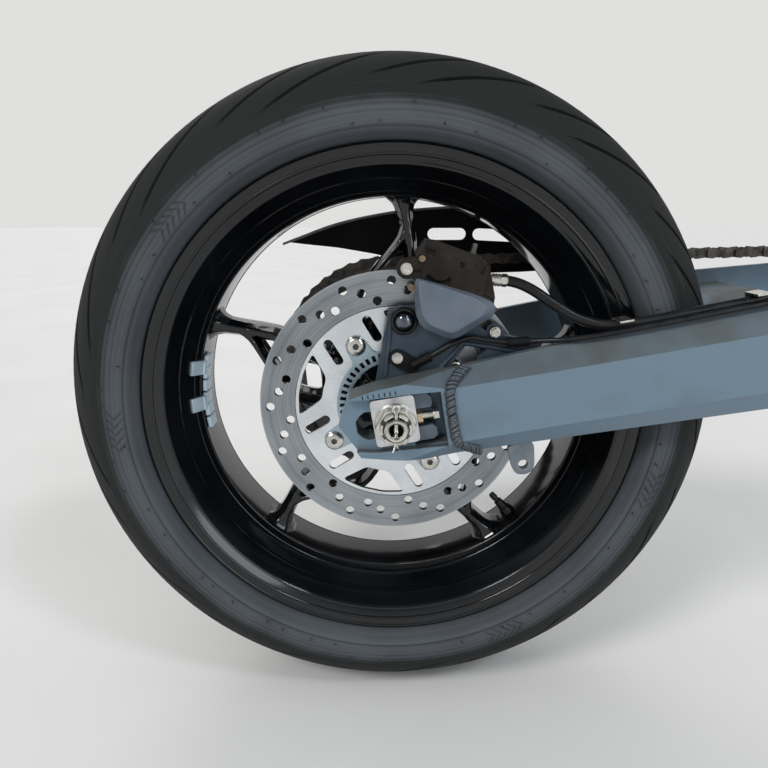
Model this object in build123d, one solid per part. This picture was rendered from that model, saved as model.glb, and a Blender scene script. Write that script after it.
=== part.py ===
from build123d import *
from math import acos, atan2, cos, degrees, hypot, pi, radians, sin, sqrt
import os

# Rear swingarm unit of a standard motorcycle: cast wheel, tyre, disc brake, chain drive and arm.
# Row frame: origin on the arm's pivot axis in the wheel's mid-plane, X forwards, Y left, Z up.
# Sizes are in millimetres. "Across" is measured along Y; the right side is negative.
# Wheel pieces are drawn about the axle; arm pieces are drawn along the arm, counted from the axle.
# Left arm pieces are mirror images of the right ones, moved out by LEFT_SHIFT.

# Arm layout
ARM_LENGTH = 570.0
ARM_SLOPE = 9.5
AXLE_X = -ARM_LENGTH * cos(radians(ARM_SLOPE))
AXLE_Z = -ARM_LENGTH * sin(radians(ARM_SLOPE))
LEFT_SHIFT = 32.0

# Clearances
SEAT_GAP = 0.3
RUN_GAP = 0.08
SIDE_GAP = 0.5

# Sides of the polygons that stand for small and middling rounds
SMALL_SIDES = 10
ROUND_SIDES = 20
WHEEL_SIDES = 48

# Tyre, 180/55 on a 17 inch rim
TYRE_R = 315.0
TYRE_HALF = 90.0

# Rim, 17 x 5.5
FLANGE_R = 232.0
BEAD_R = FLANGE_R - 13.7
RIM_HALF = 75.0
FLANGE_THICK = 5.0
WELL_R = FLANGE_R - 37.0
WELL_HALF = 33.0
BARREL_THICK = 5.5

# Spokes
SPOKE_COUNT = 5
SPOKE_START = 87.0
SPOKE_WIDTH = 17.0
LEG_WIDTH = 11.0
FORK_R = 157.0
ELBOW_R = 108.0
ELBOW_TURN = 23.0
LEG_TURN = 37.0

# Hub
HUB_R = 38.0
HUB_HALF = 52.0
DRUM_R = 74.0
DRUM_FROM = 14.0
DRUM_TO = 58.0

# Brake disc
DISC_R = 125.0
DISC_THICK = 5.0
DISC_BACK = -60.0
DISC_BORE_R = 50.0
BOLT_COUNT = 4
BOLT_START = 31.8
BOLT_PCD_R = 66.0
BOLT_R = 4.0
BOLT_HEAD_R = 9.2
BOLT_HEAD_H = 3.4
BAND_INNER_R = 93.0
DRILL_R = 4.1
DRILL_GROUPS = 16
WINDOW_OUTER_R = 90.0
WINDOW_INNER_R = 66.5
WINDOW_OFF = 38.0
SLOT_OFF = 21.0
SLOT_WIDTH = 8.6
SLOT_LENGTH = 27.0
SLOT_MID_R = 71.5

# Sensor ring
RING_THICK = 2.0
RING_OUTER_R = 53.0
RING_INNER_R = 41.5

# Chain drive
CHAIN_Y = 107.0
CHAIN_PITCH = 15.875
TEETH = 48
CHAIN_HALF_DEEP = 6.6
CHAIN_OUT = 9.0
CHAIN_IN = 4.2
SPROCKET_THICK = 7.2
SPROCKET_BORE_R = 48.0
SPROCKET_PCD_R = 62.0
SPROCKET_BOLTS = 5
SPROCKET_R = CHAIN_PITCH / (2 * sin(pi / TEETH))
NOSE_R = 42.0
WRAP_STEPS = 18
NOSE_STEPS = 8

# Axle
AXLE_R = 10.0
AXLE_HOLE_R = (AXLE_R + RUN_GAP) / cos(pi / ROUND_SIDES)
AXLE_BORE_R = 6.0
SPACER_R = 16.0
NUT_AF = 30.0
NUT_H = 12.0
CROWN_R = 13.5
CROWN_H = 6.0
AXLE_PROUD = 4.0
PIN_R = 1.6

# Arm across positions, right side
LUG_IN = -92.0
ARM_OUT = -126.0
BEAM_IN = -98.0
WEB_Y = -118.0
WINDOW_BACK = -98.0

# Beam stations: along the arm, top, face top, face bottom, bottom
STATIONS = [
    (50.0, 35.0, 23.0, -25.0, -38.5),
    (135.0, 40.0, 23.0, -24.5, -40.5),
    (ARM_LENGTH - 190.0, 47.0, 25.0, -26.0, -46.0),
    (ARM_LENGTH, 32.0, 20.0, -20.0, -32.0),
]
CHAMFER_TOP = 20.0
CHAMFER_BOTTOM = 12.0
BOSS_R = 36.0

# Axle lugs, along the arm
WINDOW_FROM = 14.0
WINDOW_TO = 42.0
SLOT_BACK = -34.0
SLOT_FRONT = 24.0
SLOT_H = 25.0
PLATE_W = 38.0
PLATE_H = 42.0
PLATE_T = 6.0
PLATE_LIFT = 2.0
BLOCK_REACH = 18.5
SCREW_HEAD_AT = 33.0
BEAD_HALF = 4.6

# Pivot and cross member
PIVOT_TUBE_R = 26.0
PIVOT_BORE_R = 10.0
CROSS_FROM = ARM_LENGTH - 222.0
CROSS_TO = CROSS_FROM + 64.0
CROSS_HALF = 30.0
CROSS_WALL = 6.0
LINK_EAR_T = 9.0
LINK_EAR_GAP = 42.0
LINK_BORE_R = 6.0
LINK_AT = CROSS_FROM + 35.0
LINK_DROP = 62.0

# Caliper and bracket
BRACKET_IN = -77.0
BRACKET_OUT = -89.0
EYE_R = 23.0
CALIPER_OUT = -108.0
CALIPER_IN = -40.0
PAD_THICK = 7.4
PAD_GAP = 0.4
DISC_ROOM = 6.0
SLIDE_BOLT = (8.0, 83.0)
PIN_BOLT = (10.0, 128.0)
SENSOR_BOLT = (2.5, 50.4)
SENSOR_AT = (15.5, 44.0)
SENSOR_R = 6.0
SENSOR_NOSE_GAP = 1.5
STOP_AT = (117.0, 51.0)
CLIP_EAR = (88.0, 73.0)

# Chain guard
GUARD_Y = 121.0
GUARD_T = 2.5
GUARD_LIP_Y = 98.0

# Balance weights and valve
WEIGHT_COUNT = 6
WEIGHT_START = 168.0
WEIGHT_STEP = 3.9
WEIGHT_THICK = 4.5
WEIGHT_WIDE = 19.0
WEIGHT_Y = -24.0
VALVE_TURN = 312.0
VALVE_R = 4.2

# Stand tabs
TAB_AT = 105.5
TAB_DROP = 60.5
TAB_R = 10.5
TAB_T = 6.0
TAB_HOLE_R = 3.4
TAB_Y = -108.5

# Hose and lead on the arm
HOSE_R = 4.6
LEAD_R = 2.4
HOSE_Y = -103.0
LEAD_Y = -112.5
LEAD_LIFT = LEAD_R + SEAT_GAP
RUN_END = ARM_LENGTH - 80.0
END_FITTING = 22.0
CLIP_AT = (205.0, 320.0, 450.0)

DISC_FRONT = DISC_BACK - DISC_THICK
RING_FRONT = DISC_FRONT - RING_THICK

AT_AXLE = Pos(AXLE_X, 0, AXLE_Z)
ALONG_ARM = AT_AXLE * Rot(0, -ARM_SLOPE, 0)


def face_of(points):
    """Flat face inside a closed outline of points."""
    return make_face(Polyline(*points, close=True))


def stacked(stations):
    """Solid about the axle that runs straight from one (across, radius) station to the next."""
    rings = [Plane.XZ.offset(-across) * RegularPolygon(radius, WHEEL_SIDES) for across, radius in stations]
    return loft(rings, ruled=True)


def both_ways(stations):
    """Stations from the mid-plane outwards, with their mirror images before them."""
    return [(-across, radius) for across, radius in reversed(stations) if across > 0] + stations


def plate(sketch, y_low, y_high):
    """Sketch drawn as (X, Z), made solid from y_low to y_high."""
    return extrude(Plane.XZ.offset(-y_high) * sketch, amount=y_high - y_low)


def rod(radius, y_low, y_high, x=0.0, z=0.0, sides=ROUND_SIDES):
    """Round bar along Y, as a polygon."""
    return plate(Pos(x, z) * RegularPolygon(radius, sides), y_low, y_high)


def sleeve(outer, inner, y_low, y_high, x=0.0, z=0.0):
    """Round tube along Y, as a polygon."""
    ring = RegularPolygon(outer, ROUND_SIDES) - RegularPolygon(inner, ROUND_SIDES)
    return plate(Pos(x, z) * ring, y_low, y_high)


def polar(radius, angle):
    """Point (X, Z) at a radius and an angle in degrees."""
    return radius * cos(radians(angle)), radius * sin(radians(angle))


def bar(start, end, width_start, width_end):
    """Straight tapered outline between two (X, Z) points."""
    dx, dz = end[0] - start[0], end[1] - start[1]
    length = hypot(dx, dz)
    nx, nz = -dz / length, dx / length
    a, b = width_start / 2, width_end / 2
    return face_of([
        (start[0] + nx * a, start[1] + nz * a),
        (end[0] + nx * b, end[1] + nz * b),
        (end[0] - nx * b, end[1] - nz * b),
        (start[0] - nx * a, start[1] - nz * a),
    ])


def stick(start, end, radius, sides=6):
    """Polygonal bar between two points in space."""
    a, b = Vector(*start), Vector(*end)
    section = Plane(origin=a, z_dir=(b - a).normalized()) * RegularPolygon(radius, sides)
    return extrude(section, amount=(b - a).length)


def string(points, radius, sides=6):
    """Bent cord through points, each length run on a little so that the bends are full."""
    made = []
    for k, (start, end) in enumerate(zip(points, points[1:])):
        a, b = Vector(*start), Vector(*end)
        reach = (b - a).normalized() * (radius * 0.35)
        tail = a if k == 0 else a - reach
        tip = b if k == len(points) - 2 else b + reach
        made.append(stick(tuple(tail), tuple(tip), radius, sides))
    return made[0] + made[1:]


def around(count, start, piece):
    """Copies of a piece drawn at angle zero, spaced evenly about the axle."""
    return [Rot(0, -(start + k * 360 / count), 0) * piece for k in range(count)]


def left_of(piece):
    """Left-hand twin of a right-hand arm piece."""
    return Pos(0, LEFT_SHIFT, 0) * mirror(piece, Plane.XZ)


def tyre():
    """Radial tyre, hollow inside, beads on the rim seats."""
    bead_y = RIM_HALF - FLANGE_THICK - SIDE_GAP
    seat_r = BEAD_R + SEAT_GAP
    neck_r = FLANGE_R + 1
    body = stacked(both_ways([
        (0, TYRE_R), (TYRE_HALF * 0.3, TYRE_R * 0.99), (TYRE_HALF * 0.58, TYRE_R * 0.962),
        (TYRE_HALF * 0.81, TYRE_R * 0.912), (TYRE_HALF * 0.97, TYRE_R * 0.848), (TYRE_HALF, TYRE_R * 0.785),
    ]))
    side_r = TYRE_R * 0.785
    fall = (side_r - neck_r) / (TYRE_HALF - bead_y)
    hollow = stacked(both_ways([(0, TYRE_R - 13), (TYRE_HALF - 14, FLANGE_R + 30), (bead_y - 12, seat_r - 1)]))
    sides = [
        stacked([(side * bead_y, neck_r), (side * (TYRE_HALF + 1), side_r + fall)]) for side in (-1, 1)
    ]
    return body - [stacked([(-TYRE_HALF - 1, seat_r), (TYRE_HALF + 1, seat_r)]), hollow] - sides


def rim():
    """Drop-centre rim: well, bead seats and flanges, hollowed out along the same steps."""
    seat_y = RIM_HALF - FLANGE_THICK
    well = stacked(both_ways([(WELL_HALF, WELL_R), (seat_y - 18, BEAD_R - 2), (seat_y, BEAD_R)]))
    flanges = [stacked([(side * seat_y, FLANGE_R), (side * RIM_HALF, FLANGE_R)]) for side in (-1, 1)]
    inside = stacked(both_ways([
        (WELL_HALF - 4, WELL_R - BARREL_THICK), (WELL_HALF + 9, WELL_R + 7.5), (WELL_HALF + 20, WELL_R + 9),
        (seat_y - 2, BEAD_R - 5), (RIM_HALF + 0.5, FLANGE_R - 6),
    ]))
    return well + flanges - inside


def spokes():
    """Five spokes, each with a second leg that leaves it at the fork and bends to the hub."""
    root_r = HUB_R - 6
    tip_r = WELL_R - BARREL_THICK + 2
    main = bar((root_r, 0), (FORK_R, 0), SPOKE_WIDTH + 5, SPOKE_WIDTH)
    main += bar((FORK_R, 0), (tip_r - 14, 0), SPOKE_WIDTH, SPOKE_WIDTH + 3)
    main += bar((tip_r - 14, 0), (tip_r, 0), SPOKE_WIDTH + 3, SPOKE_WIDTH + 22)
    elbow = polar(ELBOW_R, ELBOW_TURN)
    foot = polar(root_r + 4, LEG_TURN)
    leg = bar((FORK_R + 2, 1), elbow, LEG_WIDTH + 2, LEG_WIDTH)
    leg += bar(elbow, foot, LEG_WIDTH, LEG_WIDTH + 6) + Pos(*elbow) * RegularPolygon(LEG_WIDTH / 2, 8)
    outline = main + leg
    depth = face_of([
        (0, -46), (HUB_R + 6, -44), (95, -30), (150, -21), (WELL_R, -17),
        (WELL_R, 17), (150, 20), (95, 30), (0, 40),
    ])
    one = plate(outline, -50, 50) & extrude(depth, amount=120, both=True)
    return around(SPOKE_COUNT, SPOKE_START, one)


def hub():
    """Hub barrel with the disc seats on the right and the cushion drum on the left."""
    barrel = rod(HUB_R, -HUB_HALF, DRUM_FROM + 6) + rod(DRUM_R, DRUM_FROM, DRUM_TO, sides=30)
    outline = bar((HUB_R - 8, 0), (BOLT_PCD_R, 0), 34, 22) + Pos(BOLT_PCD_R, 0) * RegularPolygon(11, 10)
    outline -= Pos(BOLT_PCD_R, 0) * RegularPolygon(BOLT_R + SEAT_GAP, 6)
    return [barrel] + around(BOLT_COUNT, BOLT_START, plate(outline, DISC_BACK, DISC_BACK + 15))


def wheel_casting():
    """Rim, spokes and hub as the one casting that they are."""
    cast = rim() + hub() + spokes()
    valve = stick((WELL_R - 30, 0, 0), (WELL_R + 10, 0, 0), VALVE_R + SEAT_GAP, 6)
    return cast - [
        rod(SPACER_R + 1.5, -HUB_HALF - 12, -HUB_HALF + 6),
        plate(Circle(AXLE_R + RUN_GAP), -HUB_HALF - 20, DRUM_TO + 5),
        Rot(0, -VALVE_TURN, 0) * valve,
    ]


def drill_points():
    """Centre of every hole in the disc's band, as (radius, angle)."""
    step = 360 / DRILL_GROUPS
    points = []
    for group in range(DRILL_GROUPS):
        inner = 102.5 if group % 2 == 0 else 97.8
        for radius, turn in ((115.8, 0.0), (107.6, 14.3), (inner, 6.4)):
            points.append((radius, BOLT_START + group * step + turn))
    return points


def brake_disc():
    """Drilled disc in one piece with its centre, four windows and eight slots."""
    blank = RegularPolygon(DISC_R, WHEEL_SIDES) - RegularPolygon(DISC_BORE_R, 30)
    apex = WINDOW_OFF * sqrt(2)
    wedge = face_of([(apex, 0), (apex + 90, 90), (apex + 90, -90)])
    window = (RegularPolygon(WINDOW_OUTER_R, 40) - RegularPolygon(WINDOW_INNER_R, 30)) & wedge
    slot = bar((-SLOT_LENGTH / 2, 0), (SLOT_LENGTH / 2, 0), SLOT_WIDTH, SLOT_WIDTH)
    slot = chamfer(slot.vertices(), SLOT_WIDTH * 0.29)
    cuts = []
    for k in range(BOLT_COUNT):
        turn = Rot(0, 0, BOLT_START + k * 360 / BOLT_COUNT)
        cuts.append(turn * Pos(BOLT_PCD_R, 0) * RegularPolygon(BOLT_R + SEAT_GAP, 6))
        cuts.append(turn * Pos(SLOT_MID_R, SLOT_OFF) * slot)
        cuts.append(turn * Pos(SLOT_MID_R, -SLOT_OFF) * slot)
        cuts.append(turn * Rot(0, 0, 180 / BOLT_COUNT) * window)
    for radius, angle in drill_points():
        cuts.append(Rot(0, 0, angle) * Pos(radius, 0) * RegularPolygon(DRILL_R, 6))
    return plate(blank - cuts, DISC_FRONT, DISC_BACK)


def sensor_ring():
    """Pulse ring on the disc's own bolts."""
    lobe = bar((RING_INNER_R + 3, 0), (BOLT_PCD_R, 0), 46, 17) + Pos(BOLT_PCD_R, 0) * RegularPolygon(9.4, 10)
    hole = Pos(BOLT_PCD_R, 0) * RegularPolygon(BOLT_R + SEAT_GAP, 6)
    turns = [Rot(0, 0, BOLT_START + k * 360 / BOLT_COUNT) for k in range(BOLT_COUNT)]
    face = RegularPolygon(RING_OUTER_R, 30) + [turn * lobe for turn in turns]
    face -= [RegularPolygon(RING_INNER_R, 30)] + [turn * hole for turn in turns]
    return plate(face, RING_FRONT, DISC_FRONT)


def disc_bolts():
    """Button-head bolts that hold ring and disc to the hub."""
    bolt = rod(BOLT_HEAD_R, RING_FRONT - BOLT_HEAD_H, RING_FRONT, BOLT_PCD_R, 0, SMALL_SIDES)
    bolt += rod(BOLT_R, RING_FRONT, DISC_BACK + 13, BOLT_PCD_R, 0, 6)
    return around(BOLT_COUNT, BOLT_START, bolt)


def sprocket():
    """Toothed ring; its teeth stand between the chain's plates."""
    outline = []
    for k in range(TEETH):
        centre = pi / 2 + 2 * pi * k / TEETH
        # One gap: along the pitch circle, out from it
        for along, out in ((-6.3, 3.8), (-3.4, -5.4), (3.4, -5.4), (6.3, 3.8)):
            angle = centre + along / SPROCKET_R
            outline.append(((SPROCKET_R + out) * cos(angle), (SPROCKET_R + out) * sin(angle)))
    window = face_of([polar(r, a) for r, a in ((83, -18), (101, -20), (103, 0), (101, 20), (83, 18), (84, 0))])
    cuts = [RegularPolygon(SPROCKET_BORE_R, 36)]
    for k in range(SPROCKET_BOLTS):
        turn = Rot(0, 0, 90 + k * 360 / SPROCKET_BOLTS)
        cuts.append(turn * Pos(SPROCKET_PCD_R, 0) * RegularPolygon(BOLT_R + 1 + SEAT_GAP, 8))
        cuts.append(turn * Rot(0, 0, 180 / SPROCKET_BOLTS) * window)
    return plate(face_of(outline) - cuts, CHAIN_Y - SPROCKET_THICK / 2, CHAIN_Y + SPROCKET_THICK / 2)


def sprocket_carrier():
    """Cushion-drive carrier between the drum and the sprocket."""
    seat = CHAIN_Y - SPROCKET_THICK / 2
    body = rod(DRUM_R, DRUM_TO + SIDE_GAP, seat, sides=30)
    body += rod(SPROCKET_BORE_R - 1, seat, seat + 6) + rod(30, seat + 6, seat + 9)
    scoop = rod(17, DRUM_TO + 12, seat + 10, DRUM_R + 2, 0, SMALL_SIDES)
    scoops = around(SPROCKET_BOLTS, 90 + 180 / SPROCKET_BOLTS, scoop)
    return body - (scoops + [rod(AXLE_HOLE_R, DRUM_TO, seat + 10)])


def sprocket_nuts():
    """Studs and nuts that hold the sprocket."""
    seat = CHAIN_Y + SPROCKET_THICK / 2
    nut = rod(8.1, seat, seat + 6, SPROCKET_PCD_R, 0, 6)
    nut += rod(BOLT_R + 1, seat - SPROCKET_THICK, seat + 8, SPROCKET_PCD_R, 0, 8)
    return around(SPROCKET_BOLTS, 90, nut)


def loop_face(grow):
    """Loop outline round sprocket and nose, offset outwards by grow."""
    px, pz = -AXLE_X, -AXLE_Z
    line = degrees(atan2(pz, px))
    lean = degrees(acos((SPROCKET_R - NOSE_R) / hypot(px, pz)))
    points = []
    for k in range(WRAP_STEPS + 1):
        turn = line + lean + k * (360 - 2 * lean) / WRAP_STEPS
        points.append(polar(SPROCKET_R + grow, turn))
    for k in range(NOSE_STEPS + 1):
        x, z = polar(NOSE_R + grow, line - lean + k * 2 * lean / NOSE_STEPS)
        points.append((px + x, pz + z))
    return face_of(points)


def chain():
    """Endless chain: two plate bands, joined by a web of rollers along the straight runs."""
    band = loop_face(CHAIN_HALF_DEEP) - loop_face(-CHAIN_HALF_DEEP)
    rollers = loop_face(4) - loop_face(-4)
    rollers -= RegularPolygon(SPROCKET_R + 14, 30)
    return plate(band, CHAIN_Y + CHAIN_IN, CHAIN_Y + CHAIN_OUT) + [
        plate(band, CHAIN_Y - CHAIN_OUT, CHAIN_Y - CHAIN_IN),
        plate(rollers, CHAIN_Y - CHAIN_IN, CHAIN_Y + CHAIN_IN),
    ]


def chain_slider():
    """Slider on the pivot sleeve that the chain bends round."""
    outer = (NOSE_R - CHAIN_HALF_DEEP) * cos(pi / NOSE_STEPS / 2) - SEAT_GAP
    return sleeve(outer, PIVOT_TUBE_R + SEAT_GAP, CHAIN_Y - CHAIN_OUT, CHAIN_Y + CHAIN_OUT, ARM_LENGTH, 0)


def above_beam(along, lift):
    """Point (X, Z) about the axle that stands above a beam's top, at a distance along the arm."""
    for (s0, t0, *_), (s1, t1, *_) in zip(STATIONS, STATIONS[1:]):
        if along <= s1:
            break
    height = t0 + (t1 - t0) * (along - s0) / (s1 - s0) + lift
    slope = radians(ARM_SLOPE)
    return along * cos(slope) - height * sin(slope), along * sin(slope) + height * cos(slope)


def chain_guard():
    """Upper chain guard: a side plate outside the chain, a lip over it and two feet on the beam."""
    side = face_of([
        (-121, 138), (-60, 156), (4, 170), (85, 176), (190, 172), (300, 164), (300, 118),
        (60, 100), (-13, 122), (-100, 134),
    ])
    for x, length in ((63.5, 43), (125, 50)):
        side -= chamfer(bar((x - length / 2, 144), (x + length / 2, 144), 13, 13).vertices(), 3.5)
    low, high = GUARD_Y, GUARD_Y + GUARD_T
    edge = [(-121, 138), (-60, 156), (4, 170), (85, 176), (190, 172), (300, 164)]
    lip = plate(face_of(edge + [(x, z - GUARD_T) for x, z in reversed(edge)]), GUARD_LIP_Y, high)
    feet = []
    for along in (100, 262):
        x, z = above_beam(along, 1.0)
        place = Pos(x, 0, z) * Rot(0, -ARM_SLOPE, 0)
        feet.append(place * plate(Pos(0, 30) * Rectangle(18, 60), low, high))
        feet.append(place * plate(Pos(0, GUARD_T / 2) * Rectangle(18, GUARD_T), low, high + 12))
    return plate(side, low, high) + [lip] + feet


def balance_weights():
    """Row of adhesive balance weights on the barrel."""
    outer = (WELL_R - BARREL_THICK) * cos(pi / WHEEL_SIDES) - SEAT_GAP
    inner = outer - WEIGHT_THICK
    made = []
    for k in range(WEIGHT_COUNT):
        start = WEIGHT_START + k * WEIGHT_STEP
        end = start + WEIGHT_STEP - 0.5
        block = face_of([polar(outer, start), polar(outer, end), polar(inner, end), polar(inner, start)])
        made.append(plate(block, WEIGHT_Y, WEIGHT_Y + WEIGHT_WIDE))
    return made


def valve_stem():
    """Straight valve through the barrel."""
    outer = (WELL_R - BARREL_THICK) * cos(pi / WHEEL_SIDES)
    stem = stick((outer - 28, 0, 0), (outer + 3, 0, 0), VALVE_R, 6)
    collar = stick((outer - 6.5, 0, 0), (outer - SEAT_GAP, 0, 0), 8, SMALL_SIDES)
    return Rot(0, -VALVE_TURN, 0) * (stem + collar)


def beam_section(station):
    """Closed section of the beam at one station."""
    along, top, face_top, face_bottom, bottom = station
    return Plane.YZ.offset(along) * face_of([
        (BEAM_IN, bottom), (ARM_OUT + CHAMFER_BOTTOM, bottom), (ARM_OUT, face_bottom),
        (ARM_OUT, face_top), (ARM_OUT + CHAMFER_TOP, top), (BEAM_IN, top),
    ])


def beam():
    """Right box-section beam, chamfered outside, with its pivot boss."""
    spans = [loft([beam_section(a), beam_section(b)], ruled=True) for a, b in zip(STATIONS, STATIONS[1:])]
    boss = rod(BOSS_R, ARM_OUT, BEAM_IN, ARM_LENGTH, 0)
    hole = rod(PIVOT_TUBE_R + SEAT_GAP, ARM_OUT - 1, BEAM_IN + 1, ARM_LENGTH, 0)
    return spans[0] + spans[1:] + [boss] - hole


def cut_plane(a, b, c, up):
    """Plane through three points, facing up for 1 or down for -1."""
    start = Vector(*a)
    normal = (Vector(*b) - start).cross(Vector(*c) - start)
    return Plane(origin=start, z_dir=normal if normal.Z * up > 0 else -normal)


def lug():
    """Right forged axle lug: slotted web, bevelled ledge, adjuster window, open towards the rear."""
    start, top, face_top, face_bottom, bottom = STATIONS[0]
    outline = face_of([
        (-49, 4), (-36, 28), (-12, 32), (start, top), (start, bottom), (19, -37), (-10, -31),
        (-34, -25), (-37, -19),
    ])
    pocket = face_of([
        (-55, 27.5), (-36, 26.5), (-20, 25.2), (18, 23.8), (WINDOW_TO, 22), (WINDOW_TO, -26.7),
        (20, -25), (-19, -22.5), (-34, -19.5), (-55, -19.5),
    ])
    slot = face_of([
        (SLOT_BACK, -5), (SLOT_BACK + 3.7, -9.6), (SLOT_BACK + 8.5, -SLOT_H / 2), (SLOT_FRONT, -SLOT_H / 2),
        (SLOT_FRONT, SLOT_H / 2), (SLOT_BACK + 8.5, SLOT_H / 2), (SLOT_BACK + 3.7, 9.6), (SLOT_BACK, 5),
    ])
    window = face_of([(WINDOW_FROM, 21), (WINDOW_TO, 21), (WINDOW_TO, -25), (WINDOW_FROM, -25)])
    body = plate(outline, ARM_OUT, LUG_IN) - plate(pocket, ARM_OUT - 1, WEB_Y)
    body -= plate(slot, ARM_OUT - 1, LUG_IN + 1)
    body -= plate(window, ARM_OUT - 1, WINDOW_BACK)
    # Bevels that grow from the lug's edges into the beam's chamfers
    over = cut_plane((10, ARM_OUT, 34), (start, ARM_OUT, face_top), (start, ARM_OUT + CHAMFER_TOP, top), 1)
    under = cut_plane((5, ARM_OUT, -34), (start, ARM_OUT, face_bottom), (start, ARM_OUT + CHAMFER_BOTTOM, bottom), -1)
    return split(split(body, bisect_by=over, keep=Keep.BOTTOM), bisect_by=under, keep=Keep.BOTTOM)


def weld_bead(beam_solid, lug_solid):
    """Right bead over the joint of lug and beam: up the face and forwards over both bevels."""
    start, top, face_top, face_bottom, bottom = STATIONS[0]
    path = [
        (start + 18, ARM_OUT + CHAMFER_TOP - 2, top), (start, ARM_OUT, face_top),
        (start - 1, ARM_OUT, -1), (start, ARM_OUT, face_bottom), (start + 18, ARM_OUT + CHAMFER_BOTTOM - 2, bottom),
    ]
    return string(path, BEAD_HALF, 8) - beam_solid - lug_solid


def adjuster():
    """Right adjuster: block in the slot, two lobes ahead of it and the square plate outside."""
    high = SLOT_H / 2 - SIDE_GAP
    block = face_of([
        (-BLOCK_REACH, -7), (-BLOCK_REACH + 5, -high), (BLOCK_REACH, -high),
        (BLOCK_REACH, high), (-BLOCK_REACH + 5, high), (-BLOCK_REACH, 7),
    ])
    lobes = [
        face_of([(16, 7), (32, 7), (34, 10), (34, 16), (30, 20), (16, 20)]),
        face_of([(16, -9), (32, -9), (35, -12), (35, -19), (31, -22), (16, -22)]),
    ]
    body = plate(block, WEB_Y, LUG_IN)
    body += [plate(lobe, WEB_Y + 3, WINDOW_BACK - SIDE_GAP) for lobe in lobes]
    body += plate(Pos(0, PLATE_LIFT) * Rectangle(PLATE_W, PLATE_H), WEB_Y - PLATE_T, WEB_Y)
    return body - rod(AXLE_HOLE_R, ARM_OUT - 9, LUG_IN + 1)


def adjuster_screw():
    """Right hexagon screw and locknut of the adjuster, bearing on the window's front wall."""
    mid = WEB_Y + 5
    back = PLATE_W / 2 + SEAT_GAP / 2

    def along(radius, sides, start, end):
        return extrude(Plane.YZ.offset(start) * Pos(mid, 0) * RegularPolygon(radius, sides), amount=end - start)

    return along(3, 8, back, SCREW_HEAD_AT) + [
        along(6.4, 6, back, back + 5), along(4.9, 6, SCREW_HEAD_AT, SCREW_HEAD_AT + 5),
        along(3, 8, SCREW_HEAD_AT + 5, WINDOW_TO - SEAT_GAP / 2),
    ]


def axle():
    """Hollow axle with its round head on the left."""
    head = -WEB_Y + LEFT_SHIFT + PLATE_T + SEAT_GAP / 3
    right_end = WEB_Y - PLATE_T - NUT_H - CROWN_H - AXLE_PROUD
    pin_at = WEB_Y - PLATE_T - NUT_H - CROWN_H / 2
    bore = RegularPolygon(AXLE_BORE_R, SMALL_SIDES)
    body = plate(Circle(AXLE_R) - bore, right_end, head) + plate(RegularPolygon(16, ROUND_SIDES) - bore, head, head + 9)
    return body - stick((0, pin_at, -20), (0, pin_at, 20), PIN_R + RUN_GAP, 8)


def axle_nut():
    """Castle nut with six slots."""
    seat = WEB_Y - PLATE_T
    nut = plate(RegularPolygon(NUT_AF / sqrt(3), 6), seat - NUT_H, seat - 3)
    nut += [rod(18.0, seat - 3, seat), rod(CROWN_R, seat - NUT_H - CROWN_H, seat - NUT_H)]
    slots = [rod(AXLE_HOLE_R, seat - 30, seat + 1)]
    for k in range(3):
        slot = Pos(0, seat - NUT_H - CROWN_H, 0) * Box(3 * CROWN_R, 2 * CROWN_H - 1, 4)
        slots.append(Rot(0, 60 * k + 30, 0) * slot)
    return nut - slots


def split_pin():
    """Split pin through crown and axle, with its loop on top."""
    at = WEB_Y - PLATE_T - NUT_H - CROWN_H / 2
    stem = stick((0, at, -CROWN_R - 1), (0, at, CROWN_R + 1), PIN_R, 8)
    return stem + stick((-2.6, at, CROWN_R + 2), (2.6, at, CROWN_R + 2), 2.6, 8)


def spacers():
    """Spacers that set hub and carrier between the lugs."""
    carrier_end = CHAIN_Y - SPROCKET_THICK / 2 + 9
    right = sleeve(SPACER_R, AXLE_HOLE_R, BRACKET_IN + 2, -HUB_HALF - SIDE_GAP + 6)
    left = sleeve(SPACER_R + 2, AXLE_HOLE_R, carrier_end + SIDE_GAP, -LUG_IN + LEFT_SHIFT)
    return [right, left]


def pivot_sleeve():
    """Pivot tube between the beam bosses, bored for the pivot shaft."""
    ring = RegularPolygon(PIVOT_TUBE_R, ROUND_SIDES) - Circle(PIVOT_BORE_R)
    return plate(Pos(ARM_LENGTH, 0) * ring, ARM_OUT - 2, -ARM_OUT + LEFT_SHIFT + 2)


def cross_member():
    """Box cross member between the beams."""
    mid = (CROSS_FROM + CROSS_TO) / 2
    width = CROSS_TO - CROSS_FROM
    outside = chamfer(Rectangle(width, 2 * CROSS_HALF).vertices(), 9)
    hollow = Rectangle(width - 2 * CROSS_WALL, 2 * CROSS_HALF - 2 * CROSS_WALL)
    return plate(Pos(mid, 0) * (outside - hollow), BEAM_IN, -BEAM_IN + LEFT_SHIFT)


def link_ears():
    """Two ears under the cross member for the shock link's bolt."""
    ear = bar((LINK_AT, -CROSS_HALF - SEAT_GAP / 3), (LINK_AT, -LINK_DROP), 40, 26)
    ear += Pos(LINK_AT, -LINK_DROP) * RegularPolygon(14, SMALL_SIDES)
    ear -= Pos(LINK_AT, -LINK_DROP) * Circle(LINK_BORE_R)
    half = LINK_EAR_GAP / 2
    return [plate(ear, half, half + LINK_EAR_T), plate(ear, -half - LINK_EAR_T, -half)]


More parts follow.
